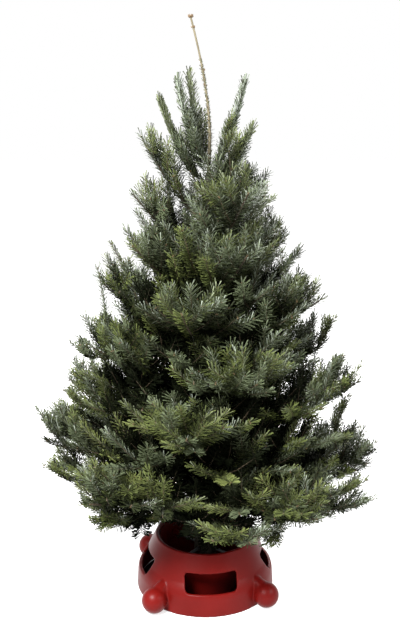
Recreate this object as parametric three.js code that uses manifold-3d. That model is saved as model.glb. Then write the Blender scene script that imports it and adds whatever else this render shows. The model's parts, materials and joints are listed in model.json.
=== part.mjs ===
/**
 * A cut fir, 1.8 m tall, standing in its moulded plastic stand.
 *
 * Millimetres, +Z up. The origin is on the floor under the middle of the stand,
 * the front of the tree faces -Y and azimuths run from +X towards +Y.
 *
 * The trunk is one solid up to its bud. Round it stand whorls of boughs. Each bough
 * of the three lowest whorls is a bare limb that ends where its mass of foliage
 * begins. The masses above them spring from the trunk. A mass is one stem with
 * twigs to the left and right, and each twig carries a toothed blade that stands
 * for a spray of needles.
 */
import * as THREE from 'three';
import { mergeVertices } from 'three/addons/utils/BufferGeometryUtils.js';
import Module from 'manifold-3d';

// Trunk
const TRUNK_CUT = 8.3;
const TRUNK_TOP = 1800;
const TRUNK_RADIUS = 40;
const TRUNK_TAPER_POWER = 0.9;
const FLARE_RADIUS = 7;
const FLARE_HEIGHT = 120;
const LEADER_START = 1330;
const LEADER_RADIUS = 7;
const LEADER_TIP_RADIUS = 3.5;
const BUD_RADIUS = 9.5;
const BUD_START = 1772;
const BUD_END_RADIUS = 2.5;
const TRUNK_SIDES = 10;
const TRUNK_STATIONS = [
  TRUNK_CUT, 60, 130, 330, 560, 800, 1040, 1200, LEADER_START, 1390,
  1450, 1522, 1600, 1670, 1730, BUD_START, 1779, 1788, 1796, TRUNK_TOP,
];

// Lean of the leader: it drifts to the right above the crown and then bends left
const DRIFT_START = 1075;
const DRIFT = 12;
const BEND_START = 1450;
const BEND = 59;
const BEND_POWER = 1.7;

// Whorls: height at the trunk, boughs, first azimuth, reach, rise and upturn of the
// layer, share cut off at the front, lift of the front tips, extra reach on the left,
// tilt: how much lower the right tips are than the middle, and the left ones higher,
// wide: half the most that one bough's foliage spreads over
const WHORLS = [
  { z: 268, count: 6, turn: -18, reach: 566, rise: -0.04, upturn: 0.22,
    trim: 0.22, lift: 52, left: -0.05, tilt: 10, wide: 290 },
  { z: 380, count: 5, turn: 16, reach: 588, rise: -0.14, upturn: 0.28,
    trim: 0.14, lift: 16, left: 0, tilt: 30, wide: 330 },
  { z: 535, count: 4, turn: -12, reach: 496, rise: 0.02, upturn: 0.33,
    trim: 0.12, lift: 8, left: -0.04, tilt: -28, wide: 340 },
  { z: 668, count: 4, turn: 20, reach: 416, rise: 0.08, upturn: 0.34,
    trim: 0.1, lift: 0, left: 0, tilt: 38, wide: 310 },
  { z: 820, count: 4, turn: -12, reach: 368, rise: 0.2, upturn: 0.34,
    trim: 0.08, lift: 0, left: -0.06, tilt: 26, wide: 260 },
  { z: 955, count: 4, turn: 30, reach: 272, rise: 0.4, upturn: 0.36,
    trim: 0.06, lift: 0, left: 0, tilt: 8, wide: 190 },
  { z: 1085, count: 3, turn: 178, reach: 238, rise: 0.6, upturn: 0.36,
    trim: 0, lift: 0, left: -0.1, tilt: 0, wide: 110 },
  { z: 1188, count: 3, turn: 180, reach: 160, rise: 0.9, upturn: 0.4,
    trim: 0, lift: 0, left: 0.2, tilt: 0, wide: 58 },
];
const CROWN_TOP = { z: 1318, reach: 146, rise: 1, upturn: 0.25, lift: 0, tilt: 0 };
const LIMB_WHORLS = 3;
const LOWEST_HANG = 46;
const AZIMUTH_SPREAD = 5;
const TIP_SPREAD = 10;
const REACH_SHARE_LOW = 0.95;
const REACH_SHARE_HIGH = 1.02;
const WHORL_SEEDS = 1000;
const BOUGH_SEEDS = 37;

// Shoots round the foot of the leader: height at the trunk, azimuth, reach, height of the tip
const TOP_SHOOTS = [
  { z: 1318, azimuth: 180, reach: 144, tip: 1554 },
  { z: 1346, azimuth: 198, reach: 96, tip: 1608 },
  { z: 1368, azimuth: 152, reach: 68, tip: 1628 },
  { z: 1350, azimuth: 8, reach: 108, tip: 1606 },
  { z: 1322, azimuth: 340, reach: 134, tip: 1474 },
];
const TOP_HALF_WIDTH = 18;
const TOP_NOTCH_SHARE = 0.6;
const TOP_TEETH = 4;
const TOP_SIDES = 5;
const TOP_BRUSH_START = 0.3;
const TOP_STEM_SHARE = 0.4;
const TOP_TAPER = 0.4;
const TOP_REACH_POWER = 0.66;
const TOP_RISE_POWER = 1.15;

// Boughs and stems
const LIMB_SHARE = 0.36;
const LIMB_SIDES = 6;
const LIMB_RINGS = 3;
const LIMB_BASE_RADIUS = 10.5;
const LIMB_END_RADIUS = 6.5;
const STEM_SIDES = 3;
const STEM_RINGS = 3;
const STEM_TIP_RADIUS = 2.4;
const UPPER_STEM_RADIUS = 6;
const STEM_SHARE = 0.76;
const END_BLADE_START = 0.66;

// Twigs and blades
const INTERNODE = 150;
const FIRST_NODE = 0.03;
const FIRST_UPPER_NODE = 0.3;
const OPEN_FIRST = 37;
const OPEN_LAST = 50;
const OPEN_SPREAD = 6;
const LATERAL_LIFT_LOW = 2;
const LATERAL_LIFT_HIGH = 14;
const LATERAL_SHARE_LOW = 0.72;
const LATERAL_SHARE_HIGH = 0.87;
const LATERAL_EXTRA = 26;
const LATERAL_ROLL = 22;
const RAISED_PLACE = 0.5;
const RAISED_OPEN = 24;
const RAISED_LIFT_LOW = 28;
const RAISED_LIFT_HIGH = 44;
const RAISED_LENGTH_LOW = 136;
const RAISED_LENGTH_HIGH = 204;
const TWIG_RADIUS = 3.2;
const STALK_SHARE = 0.2;
const BLADE_CURL = 0.1;
const BLADE_RAISE = 0.42;
const RIB_HALF_THICKNESS = 4;
const RIB_TIP_HALF_THICKNESS = 1.6;
const BLADE_ROOT_WIDTH_SHARE = 0.5;
const BLADE_SWELL = 2;
const BLADE_NARROWING = 0.6;
const BLADE_NARROWING_POWER = 1.6;
const BLADE_WIDEST = 50;
const BLADE_WIDTH_SHARE = 0.2;
const BLADE_WIDTH_EXTRA = 14;
const LONG_BLADE = 130;
const LONG_BLADE_TEETH = 3;
const SHORT_BLADE_TEETH = 2;
const NOTCH_SHARE = 0.42;
const TOOTH_SWEEP = 0.86;
const SHRINK_STEPS = [1, 0.88, 0.76, 0.64, 0.52];

// Cores: stations along the stem, sides, and shares of the room beside and above the stem
const CORE_STATIONS = [0.1, 0.34, 0.66, 0.9];
const CORE_SIDES = 6;
const CORE_WIDTH_SHARE = 0.66;
const CORE_HEIGHT_SHARE = 0.72;

// Gaps
const TOUCH_GAP = 0.3;
const SPACE_MARGIN = 2.5;

// Stand
const STAND_SIDES = 24;
const STAND_HEIGHT = 180;
const SKIRT_RADIUS = 226;
const SKIRT_TOP_RADIUS = 223;
const SKIRT_HEIGHT = 54;
const SLOPE_RADIUS = 203;
const SLOPE_HEIGHT = 98;
const RIM_RADIUS = 165;
const RIM_INNER_RADIUS = 152;
const WALL = 5.5;
const BALL_RADIUS = 40;
const BALL_DISTANCE = 250;
const BALL_SIDES = 8;
const BALL_RINGS = 6;
const FIRST_BALL_AZIMUTH = -39.7;
const HOOD_LOW_RADIUS = 36;
const HOOD_TOP_RADIUS = 16;
const HOOD_TOP_DISTANCE = 200;
const HOOD_TOP = 80;
const QUARTERS = [0, 90, 180, 270];
const WINDOW_AZIMUTH = 5.3;
const WINDOW_WIDTH = 163;
const WINDOW_LOW = 71;
const WINDOW_HIGH = 127;
const WINDOW_CORNER = 12;

// Bowl inside the stand, and the screws that hold the trunk in it
const BOWL_BASE_RADIUS = 118;
const BOWL_FLOOR = 8;
const BOWL_WALL = 4;
const BOWL_LIP_RADIUS = 151.4;
const BOWL_LIP_LOW = 162;
const BOWL_LIP_HEIGHT = 168;
const BOSS_RADIUS = 12;
const BOSS_INNER = 108;
const BOSS_OUTER = 141;
const SCREW_HEIGHT = 128;
const SCREW_RADIUS = 5;
const SCREW_START = 30;
const SCREW_END = 156;
const WING_WIDTH = 44;
const WING_THICKNESS = 9;
const WING_HEIGHT = 14;
const BORE_GAP = 0.4;
const ROUND_SIDES = 6;

const COLOURS = {
  bark: { color: 0x6b5a48, roughness: 0.9, metalness: 0 },
  twig: { color: 0x7a5a3a, roughness: 0.85, metalness: 0 },
  needles: { color: 0x3f5a3c, roughness: 0.6, metalness: 0 },
  plastic: { color: 0x96261f, roughness: 0.42, metalness: 0 },
  steel: { color: 0x55585c, roughness: 0.4, metalness: 0.9 },
};

const wasm = await Module();
wasm.setup();

/** Seeded random numbers, the same on every machine. */
class Chance {
  static modulus = 2147483647;

  constructor(seed) {
    this.state = (seed % (Chance.modulus - 1)) + 1;
    for (let warm = 0; warm < 4; warm += 1) {
      this.draw(0, 1);
    }
  }

  draw(low, high) {
    this.state = (this.state * 16807) % Chance.modulus;
    return low + ((high - low) * this.state) / Chance.modulus;
  }
}

const radians = (degrees) => THREE.MathUtils.degToRad(degrees);
const mix = (a, b, share) => a + (b - a) * share;

/** A closed geometry as a solid that can be joined and cut. */
function solidOf(geometry) {
  const bare = geometry.clone();
  bare.deleteAttribute('normal');
  bare.deleteAttribute('uv');
  const merged = mergeVertices(bare, 1e-4);
  const corners = merged.index.array;
  const triangles = [];
  for (let i = 0; i < corners.length; i += 3) {
    const [a, b, c] = [corners[i], corners[i + 1], corners[i + 2]];
    if (a !== b && b !== c && c !== a) {
      triangles.push(a, b, c);
    }
  }
  return new wasm.Manifold(new wasm.Mesh({
    numProp: 3,
    vertProperties: new Float32Array(merged.attributes.position.array),
    triVerts: new Uint32Array(triangles),
  }));
}

/** A solid as a geometry to show. */
function geometryOf(solid) {
  const mesh = solid.getMesh();
  const geometry = new THREE.BufferGeometry();
  geometry.setAttribute('position', new THREE.BufferAttribute(mesh.vertProperties, 3));
  geometry.setIndex(new THREE.BufferAttribute(mesh.triVerts, 1));
  return geometry;
}

function joined(solids) {
  return solids.reduce((whole, solid) => whole.add(solid));
}

/** Direction of travel along a path, at the share u of it. */
function tangentOf(path, u) {
  const step = 0.01;
  return path(u + step).sub(path(u - step)).normalize();
}

/** Unit vector nearest to a reference that is square to a direction. */
function squared(reference, direction) {
  const along = direction.clone().multiplyScalar(reference.dot(direction));
  return reference.clone().sub(along).normalize();
}

/**
 * A closed body along a path, with rings at the given stations. Its half width lies
 * along the reference and its half height square to it. A ring of size 0 is a point.
 */
function loftGeometry(path, sizeAt, reference, sides, stations) {
  const geometry = new THREE.CylinderGeometry(1, 1, 1, sides, stations.length - 1);
  const position = geometry.attributes.position;
  for (let i = 0; i < position.count; i += 1) {
    const ring = Math.round((position.getY(i) + 0.5) * (stations.length - 1));
    const station = stations[ring];
    const ahead = tangentOf(path, station);
    const side = squared(reference, ahead);
    const third = side.clone().cross(ahead);
    const [halfWidth, halfHeight] = sizeAt(station);
    const point = path(station)
      .addScaledVector(side, position.getX(i) * halfWidth)
      .addScaledVector(third, position.getZ(i) * halfHeight);
    position.setXYZ(i, point.x, point.y, point.z);
  }
  return geometry;
}

/** A round tapering limb with flat ends. */
function limbSolid(path, radiusAt, reference, sides, stations) {
  const sizeAt = (station) => [radiusAt(station), radiusAt(station)];
  return solidOf(loftGeometry(path, sizeAt, reference, sides, stations));
}

function evenStations(from, to, rings) {
  return Array.from({ length: rings + 1 }, (_, i) => mix(from, to, i / rings));
}

// Trunk

/** Sideways place of the trunk's middle at a height. */
function trunkX(z) {
  const drift = THREE.MathUtils.clamp((z - DRIFT_START) / (BEND_START - DRIFT_START), 0, 1);
  const bend = Math.max(0, (z - BEND_START) / (TRUNK_TOP - BEND_START));
  return DRIFT * drift - BEND * bend ** BEND_POWER;
}

/** Radius of the trunk at a height: root flare, taper, thin leader and end bud. */
function trunkRadius(z) {
  if (z > BUD_START) {
    const share = (z - BUD_START) / (TRUNK_TOP - BUD_START);
    const swell = Math.sin(Math.PI * Math.sqrt(share));
    return mix(LEADER_TIP_RADIUS, BUD_END_RADIUS, share) + (BUD_RADIUS - LEADER_TIP_RADIUS) * swell;
  }
  if (z > LEADER_START) {
    const left = 1 - (z - LEADER_START) / (BUD_START - LEADER_START);
    return LEADER_TIP_RADIUS + (LEADER_RADIUS - LEADER_TIP_RADIUS) * left ** 3;
  }
  const flare = Math.max(0, 1 - (z - TRUNK_CUT) / FLARE_HEIGHT) ** 2;
  const taper = (TRUNK_RADIUS - LEADER_RADIUS) * (z / LEADER_START) ** TRUNK_TAPER_POWER;
  return TRUNK_RADIUS - taper + FLARE_RADIUS * flare;
}

/** The trunk, or with a gap the room that everything round it leaves free. */
function trunkSolid(gap) {
  const path = (z) => new THREE.Vector3(trunkX(z), 0, z);
  const radiusAt = (z) => trunkRadius(z) + gap;
  const stations = TRUNK_STATIONS.slice();
  stations[0] -= gap;
  return limbSolid(path, radiusAt, new THREE.Vector3(1, 0, 0), TRUNK_SIDES, stations);
}

// Layers of the crown

/** How far a direction faces the front: 0 at the sides and behind, 1 within 60 degrees of it. */
function frontness(azimuth) {
  return THREE.MathUtils.clamp(-2 * Math.sin(radians(azimuth)), 0, 1);
}

/** Height of a whorl's layer at a distance from the trunk. */
function layerHeight(whorl, distance, azimuth) {
  const share = distance / whorl.reach;
  return whorl.z + whorl.rise * distance + whorl.upturn * distance * share
    + whorl.lift * frontness(azimuth) * share * share
    - whorl.tilt * Math.cos(radians(azimuth)) * share;
}

function reachOf(whorl, azimuth) {
  const trimmed = 1 - whorl.trim * frontness(azimuth);
  return whorl.reach * (trimmed - whorl.left * Math.cos(radians(azimuth)));
}

/** Height of the border between a whorl's layer and the next one up. */
function borderAbove(index, distance, azimuth) {
  const upper = WHORLS[index + 1] ?? CROWN_TOP;
  const low = layerHeight(WHORLS[index], distance, azimuth);
  return (low + layerHeight(upper, distance, azimuth)) / 2;
}

/** The space that one mass keeps to: its sector of its layer. */
function spaceOf(index, sectorAzimuth) {
  const whorl = WHORLS[index];
  const halfSector = 180 / whorl.count;
  const roomAt = (point) => {
    const dx = point.x - trunkX(whorl.z);
    const distance = Math.hypot(dx, point.y);
    const azimuth = THREE.MathUtils.radToDeg(Math.atan2(point.y, dx));
    const turned = Math.abs(THREE.MathUtils.euclideanModulo(azimuth - sectorAzimuth + 180, 360) - 180);
    const bottom = index === 0
      ? layerHeight(whorl, distance, azimuth) - LOWEST_HANG
      : borderAbove(index - 1, distance, azimuth);
    const toSector = distance * Math.sin(radians(Math.min(halfSector - turned, 90)));
    const aside = distance * Math.sin(radians(Math.min(turned, 90)));
    return {
      toSide: Math.min(toSector, whorl.wide - aside),
      toTop: borderAbove(index, distance, azimuth) - point.z,
      toBottom: point.z - bottom,
    };
  };
  const isInside = (point) => Math.min(...Object.values(roomAt(point))) > SPACE_MARGIN;
  return { roomAt, isInside };
}

// Sprays

/** Width of a blade along its length: soon wide, then narrowing to its point. */
function bladeProfile(share) {
  const swell = Math.min(1, BLADE_ROOT_WIDTH_SHARE + BLADE_SWELL * share);
  return swell * (1 - BLADE_NARROWING * share ** BLADE_NARROWING_POWER);
}

/**
 * A toothed blade on its stalk. Top and bottom meet in the outline of teeth and
 * notches and stand apart along the middle rib. The halves rise like a shallow V.
 */
function bladeGeometry(frame, length, halfWidth, teeth) {
  const points = [];
  const place = (x, y, lift) => {
    const rise = Math.max(0, Math.abs(y) - TWIG_RADIUS) * BLADE_RAISE;
    const curl = (BLADE_CURL * x * x) / length;
    points.push(frame.origin.clone()
      .addScaledVector(frame.ahead, x)
      .addScaledVector(frame.side, y)
      .addScaledVector(frame.up, rise + curl + lift));
    return points.length - 1;
  };
  const faces = [];
  const add = (hand, a, b, c) => {
    if (a !== b && b !== c && c !== a) {
      faces.push(...(hand > 0 ? [a, b, c] : [a, c, b]));
    }
  };
  const stalk = length * STALK_SHARE;
  const stationAt = (j) => mix(stalk, length, j / teeth);
  const tip = place(length, 0, 0);
  const footTop = place(0, 0, TWIG_RADIUS);
  const footBottom = place(0, 0, -TWIG_RADIUS);
  const ribTop = [];
  const ribBottom = [];
  for (let j = 0; j < teeth; j += 1) {
    const half = mix(RIB_HALF_THICKNESS, RIB_TIP_HALF_THICKNESS, j / teeth);
    ribTop.push(place(stationAt(j), 0, half));
    ribBottom.push(place(stationAt(j), 0, -half));
  }
  ribTop.push(tip);
  ribBottom.push(tip);
  for (const hand of [1, -1]) {
    const foot = place(0, hand * TWIG_RADIUS, 0);
    const notches = [place(stalk, hand * TWIG_RADIUS, 0)];
    for (let j = 1; j < teeth; j += 1) {
      const width = halfWidth * NOTCH_SHARE * bladeProfile(j / teeth);
      notches.push(place(stationAt(j), hand * width, 0));
    }
    notches.push(tip);
    add(hand, footTop, foot, footBottom);
    add(hand, footTop, ribTop[0], notches[0]);
    add(hand, footTop, notches[0], foot);
    add(-hand, footBottom, ribBottom[0], notches[0]);
    add(-hand, footBottom, notches[0], foot);
    for (let j = 0; j < teeth; j += 1) {
      const width = halfWidth * bladeProfile((j + 0.5) / teeth);
      const tooth = place(stationAt(j + TOOTH_SWEEP), hand * width, 0);
      add(hand, ribTop[j], tooth, notches[j]);
      add(hand, ribTop[j], ribTop[j + 1], tooth);
      add(hand, ribTop[j + 1], notches[j + 1], tooth);
      add(-hand, ribBottom[j], tooth, notches[j]);
      add(-hand, ribBottom[j], ribBottom[j + 1], tooth);
      add(-hand, ribBottom[j + 1], notches[j + 1], tooth);
    }
  }
  const geometry = new THREE.BufferGeometry().setFromPoints(points);
  geometry.setIndex(faces);
  return geometry;
}

function insideSpace(geometry, isInside) {
  const position = geometry.attributes.position;
  const point = new THREE.Vector3();
  for (let i = 0; i < position.count; i += 1) {
    if (!isInside(point.fromBufferAttribute(position, i))) {
      return false;
    }
  }
  return true;
}

/** Frame of a shoot that leaves a parent frame by an opening angle, a lift and a roll. */
function shootFrame(parent, open, lift, roll) {
  const flat = parent.ahead.clone().multiplyScalar(Math.cos(open))
    .addScaledVector(parent.side, Math.sin(open));
  const ahead = flat.multiplyScalar(Math.cos(lift)).addScaledVector(parent.up, Math.sin(lift));
  const side = parent.up.clone().cross(ahead).normalize().applyAxisAngle(ahead, roll);
  return { origin: parent.origin, ahead, side, up: ahead.clone().cross(side) };
}

/** One twig with its blade, made shorter until it has room, or nothing. */
function spray(frame, length, isInside) {
  for (const shrink of SHRINK_STEPS) {
    const grown = length * shrink;
    const halfWidth = Math.min(BLADE_WIDEST, BLADE_WIDTH_EXTRA + BLADE_WIDTH_SHARE * grown);
    const teeth = grown > LONG_BLADE ? LONG_BLADE_TEETH : SHORT_BLADE_TEETH;
    const blade = bladeGeometry(frame, grown, halfWidth, teeth);
    if (insideSpace(blade, isInside)) {
      return [solidOf(blade)];
    }
  }
  return [];
}

/** The dense middle of a mass, which its sprays stand out of. */
function coreOf(path, reference, space) {
  for (const shrink of SHRINK_STEPS) {
    const sizeAt = (u) => {
      const share = CORE_STATIONS.indexOf(u) / (CORE_STATIONS.length - 1);
      const swell = shrink * Math.sqrt(Math.sin(Math.PI * share));
      const room = space.roomAt(path(u));
      return [CORE_WIDTH_SHARE * room.toSide * swell, CORE_HEIGHT_SHARE * room.toTop * swell];
    };
    const core = loftGeometry(path, sizeAt, reference, CORE_SIDES, CORE_STATIONS);
    if (insideSpace(core, space.isInside)) {
      return [solidOf(core)];
    }
  }
  return [];
}

/** A mass of foliage: the stem along a path, its core, its twigs and the spray at its end. */
function massSolid(path, reference, radius, firstNode, seed, space) {
  const chance = new Chance(seed);
  const length = path(1).distanceTo(path(0));
  const nodes = Math.max(1, Math.round((length * (1 - firstNode)) / INTERNODE));
  const radiusAt = (u) => mix(radius, STEM_TIP_RADIUS, u / STEM_SHARE);
  const stations = evenStations(0, STEM_SHARE, STEM_RINGS);
  const solids = [limbSolid(path, radiusAt, reference, STEM_SIDES, stations)];
  solids.push(...coreOf(path, reference, space));
  const frameAt = (u) => {
    const ahead = tangentOf(path, u);
    const side = squared(reference, ahead);
    return { origin: path(u), ahead, side, up: ahead.clone().cross(side) };
  };

  for (let node = 0; node < nodes; node += 1) {
    const at = mix(firstNode, 1, node / nodes);
    const parent = frameAt(at);
    for (const hand of [-1, 1]) {
      const spread = chance.draw(-OPEN_SPREAD, OPEN_SPREAD);
      const open = radians(mix(OPEN_FIRST, OPEN_LAST, node / nodes) + spread);
      const lift = radians(chance.draw(LATERAL_LIFT_LOW, LATERAL_LIFT_HIGH));
      const share = chance.draw(LATERAL_SHARE_LOW, LATERAL_SHARE_HIGH);
      const roll = radians(chance.draw(-LATERAL_ROLL, LATERAL_ROLL));
      const frame = shootFrame(parent, hand * open, lift, roll);
      solids.push(...spray(frame, (1 - at) * length * share + LATERAL_EXTRA, space.isInside));
    }
  }
  const open = radians(chance.draw(-RAISED_OPEN, RAISED_OPEN));
  const lift = radians(chance.draw(RAISED_LIFT_LOW, RAISED_LIFT_HIGH));
  const raised = shootFrame(frameAt(RAISED_PLACE), open, lift, 0);
  const raisedLength = chance.draw(RAISED_LENGTH_LOW, RAISED_LENGTH_HIGH);
  solids.push(...spray(raised, raisedLength, space.isInside));
  const end = frameAt(END_BLADE_START);
  solids.push(...spray(end, (1 - END_BLADE_START) * length, () => true));
  return joined(solids);
}

// Pieces

const tree = new THREE.Group();

function addPiece(name, solid, colour) {
  const material = new THREE.MeshStandardMaterial({ ...COLOURS[colour], flatShading: true });
  const mesh = new THREE.Mesh(geometryOf(solid), material);
  mesh.name = name;
  tree.add(mesh);
}

/** Path of one bough from the middle of the trunk to its tip. */
function boughPath(whorl, azimuth, reach, tipLift) {
  const ahead = new THREE.Vector3(Math.cos(radians(azimuth)), Math.sin(radians(azimuth)), 0);
  return (u) => {
    const distance = reach * u;
    const point = ahead.clone().multiplyScalar(distance);
    point.x += trunkX(whorl.z);
    point.z = layerHeight(whorl, distance, azimuth) + tipLift * u;
    return point;
  };
}

function addWhorl(index, room) {
  const whorl = WHORLS[index];
  for (let k = 0; k < whorl.count; k += 1) {
    const seed = WHORL_SEEDS * (index + 1) + BOUGH_SEEDS * k;
    const chance = new Chance(seed);
    const sector = whorl.turn + (360 * k) / whorl.count;
    const azimuth = sector + chance.draw(-AZIMUTH_SPREAD, AZIMUTH_SPREAD);
    const reach = reachOf(whorl, azimuth) * chance.draw(REACH_SHARE_LOW, REACH_SHARE_HIGH);
    const path = boughPath(whorl, azimuth, reach, chance.draw(-TIP_SPREAD, TIP_SPREAD));
    const reference = new THREE.Vector3(-Math.sin(radians(azimuth)), Math.cos(radians(azimuth)), 0);
    const space = spaceOf(index, sector);
    const name = `${index + 1}_${k + 1}`;
    if (index < LIMB_WHORLS) {
      const radiusAt = (u) => mix(LIMB_BASE_RADIUS, LIMB_END_RADIUS, u / LIMB_SHARE);
      const stations = evenStations(0, LIMB_SHARE, LIMB_RINGS);
      const limb = limbSolid(path, radiusAt, reference, LIMB_SIDES, stations);
      addPiece(`bough_${name}`, limb.subtract(room), 'twig');
      const start = LIMB_SHARE + TOUCH_GAP / reach;
      const beyond = (u) => path(mix(start, 1, u));
      const mass = massSolid(beyond, reference, LIMB_END_RADIUS, FIRST_NODE, seed, space);
      addPiece(`foliage_${name}`, mass, 'needles');
    } else {
      const mass = massSolid(path, reference, UPPER_STEM_RADIUS, FIRST_UPPER_NODE, seed, space);
      addPiece(`foliage_${name}`, mass.subtract(room), 'needles');
    }
  }
}

/** The upright shoots at the foot of the leader, each a stem in a slim toothed core. */
function addTopShoots(room) {
  const brushStations = evenStations(TOP_BRUSH_START, 1, 2 * TOP_TEETH);
  const brushSizeAt = (u) => {
    const ring = brushStations.indexOf(u);
    const taper = 1 - TOP_TAPER * (ring / (2 * TOP_TEETH)) ** 2;
    const size = TOP_HALF_WIDTH * taper * (ring % 2 === 0 ? TOP_NOTCH_SHARE : 1);
    return ring === 2 * TOP_TEETH ? [0, 0] : [size, size];
  };
  TOP_SHOOTS.forEach((shoot, k) => {
    const azimuth = radians(shoot.azimuth);
    const ahead = new THREE.Vector3(Math.cos(azimuth), Math.sin(azimuth), 0);
    const path = (u) => {
      const share = Math.max(0, u);
      const point = ahead.clone().multiplyScalar(shoot.reach * (share ** TOP_REACH_POWER + Math.min(0, u)));
      point.x += trunkX(shoot.z);
      point.z = mix(shoot.z, shoot.tip, share ** TOP_RISE_POWER);
      return point;
    };
    const reference = new THREE.Vector3(-Math.sin(azimuth), Math.cos(azimuth), 0);
    const radiusAt = (u) => mix(LEADER_TIP_RADIUS, STEM_TIP_RADIUS, u / TOP_STEM_SHARE);
    const stem = limbSolid(path, radiusAt, reference, STEM_SIDES, evenStations(0, TOP_STEM_SHARE, 2));
    const brush = solidOf(loftGeometry(path, brushSizeAt, reference, TOP_SIDES, brushStations));
    addPiece(`top_shoot_${k + 1}`, stem.add(brush).subtract(room), 'needles');
  });
}

// Stand

/** A closed profile of points (radius, height) turned round the vertical axis. */
function turnedSolid(points) {
  const geometry = new THREE.LatheGeometry(points, STAND_SIDES);
  geometry.rotateX(Math.PI / 2);
  return solidOf(geometry);
}

/** A straight round bar along a radius of the stand. */
function radialBar(radius, from, to, height, azimuth) {
  const geometry = new THREE.CylinderGeometry(radius, radius, to - from, ROUND_SIDES);
  geometry.rotateZ(-Math.PI / 2);
  geometry.translate((from + to) / 2, 0, height);
  geometry.rotateZ(radians(azimuth));
  return solidOf(geometry);
}

/** Outer skirt, slope and rolled rim, and the same line one wall further in. */
function shellProfile() {
  const rimRound = (RIM_RADIUS - RIM_INNER_RADIUS) / 2;
  const rimMiddle = RIM_INNER_RADIUS + rimRound;
  const outline = new THREE.Path();
  outline.moveTo(SKIRT_RADIUS - WALL, 0);
  outline.lineTo(SKIRT_RADIUS, 0);
  outline.lineTo(SKIRT_TOP_RADIUS, SKIRT_HEIGHT);
  outline.quadraticCurveTo(SKIRT_TOP_RADIUS - 2, SKIRT_HEIGHT + 20, SLOPE_RADIUS, SLOPE_HEIGHT);
  outline.lineTo(RIM_RADIUS + 3, STAND_HEIGHT - rimRound - 6);
  outline.absarc(rimMiddle, STAND_HEIGHT - rimRound, rimRound, 0, Math.PI, false);
  outline.lineTo(RIM_INNER_RADIUS, STAND_HEIGHT - 2.5 * rimRound);
  outline.lineTo(SLOPE_RADIUS - WALL - 1, SLOPE_HEIGHT - 4);
  outline.lineTo(SKIRT_TOP_RADIUS - WALL, SKIRT_HEIGHT - 2);
  outline.closePath();
  return outline.getPoints(2);
}

/** Rounded window, as the solid that is cut out of the shell. */
function windowSolid(azimuth) {
  const halfWidth = WINDOW_WIDTH / 2 - WINDOW_CORNER;
  const low = WINDOW_LOW + WINDOW_CORNER;
  const high = WINDOW_HIGH - WINDOW_CORNER;
  const shape = new THREE.Shape();
  shape.absarc(halfWidth, high, WINDOW_CORNER, 0, Math.PI / 2, false);
  shape.absarc(-halfWidth, high, WINDOW_CORNER, Math.PI / 2, Math.PI, false);
  shape.absarc(-halfWidth, low, WINDOW_CORNER, Math.PI, 1.5 * Math.PI, false);
  shape.absarc(halfWidth, low, WINDOW_CORNER, 1.5 * Math.PI, 2 * Math.PI, false);
  shape.closePath();
  const geometry = new THREE.ExtrudeGeometry(shape, {
    depth: SKIRT_RADIUS,
    bevelEnabled: false,
    curveSegments: 1,
  });
  geometry.rotateX(Math.PI / 2);
  geometry.rotateZ(radians(azimuth + 90));
  return solidOf(geometry);
}

/** Ball foot with the hood that runs from it up the slope of the shell. */
function footSolid(azimuth) {
  const ball = new THREE.SphereGeometry(BALL_RADIUS, BALL_SIDES, BALL_RINGS);
  ball.rotateX(Math.PI / 2);
  ball.translate(BALL_DISTANCE, 0, BALL_RADIUS);
  ball.rotateZ(radians(azimuth));
  const inward = BALL_DISTANCE - HOOD_TOP_DISTANCE;
  const upward = HOOD_TOP - BALL_RADIUS;
  const length = Math.hypot(inward, upward);
  const hood = new THREE.CylinderGeometry(HOOD_TOP_RADIUS, HOOD_LOW_RADIUS, length, BALL_SIDES);
  hood.translate(0, length / 2, 0);
  hood.rotateX(Math.PI / 2);
  hood.rotateY(-Math.atan2(inward, upward));
  hood.translate(BALL_DISTANCE, 0, BALL_RADIUS);
  hood.rotateZ(radians(azimuth));
  return solidOf(ball).add(solidOf(hood));
}

function addShell() {
  let shell = turnedSolid(shellProfile());
  for (const quarter of QUARTERS) {
    shell = shell.add(footSolid(FIRST_BALL_AZIMUTH + quarter));
  }
  for (const quarter of QUARTERS) {
    shell = shell.subtract(windowSolid(WINDOW_AZIMUTH + quarter));
  }
  addPiece('stand_shell', shell, 'plastic');
}

/** The bowl with a bored boss for each clamp screw. */
function addBowl() {
  const bossTop = SCREW_HEIGHT + BOSS_RADIUS + 2;
  let bowl = turnedSolid([
    new THREE.Vector2(0, 0),
    new THREE.Vector2(BOWL_BASE_RADIUS, 0),
    new THREE.Vector2(BOSS_OUTER + BOWL_WALL, bossTop),
    new THREE.Vector2(BOWL_LIP_RADIUS, BOWL_LIP_LOW),
    new THREE.Vector2(BOWL_LIP_RADIUS, BOWL_LIP_HEIGHT),
    new THREE.Vector2(BOWL_LIP_RADIUS - BOWL_WALL, BOWL_LIP_HEIGHT),
    new THREE.Vector2(BOSS_OUTER, bossTop),
    new THREE.Vector2(BOWL_BASE_RADIUS - BOWL_WALL, BOWL_FLOOR),
    new THREE.Vector2(0, BOWL_FLOOR),
  ]);
  for (const quarter of QUARTERS) {
    const azimuth = FIRST_BALL_AZIMUTH + quarter;
    const boreRadius = SCREW_RADIUS + BORE_GAP;
    bowl = bowl.add(radialBar(BOSS_RADIUS, BOSS_INNER, BOSS_OUTER, SCREW_HEIGHT, azimuth));
    bowl = bowl.subtract(radialBar(boreRadius, SCREW_START, SCREW_END, SCREW_HEIGHT, azimuth));
  }
  addPiece('stand_bowl', bowl, 'plastic');
}

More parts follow.
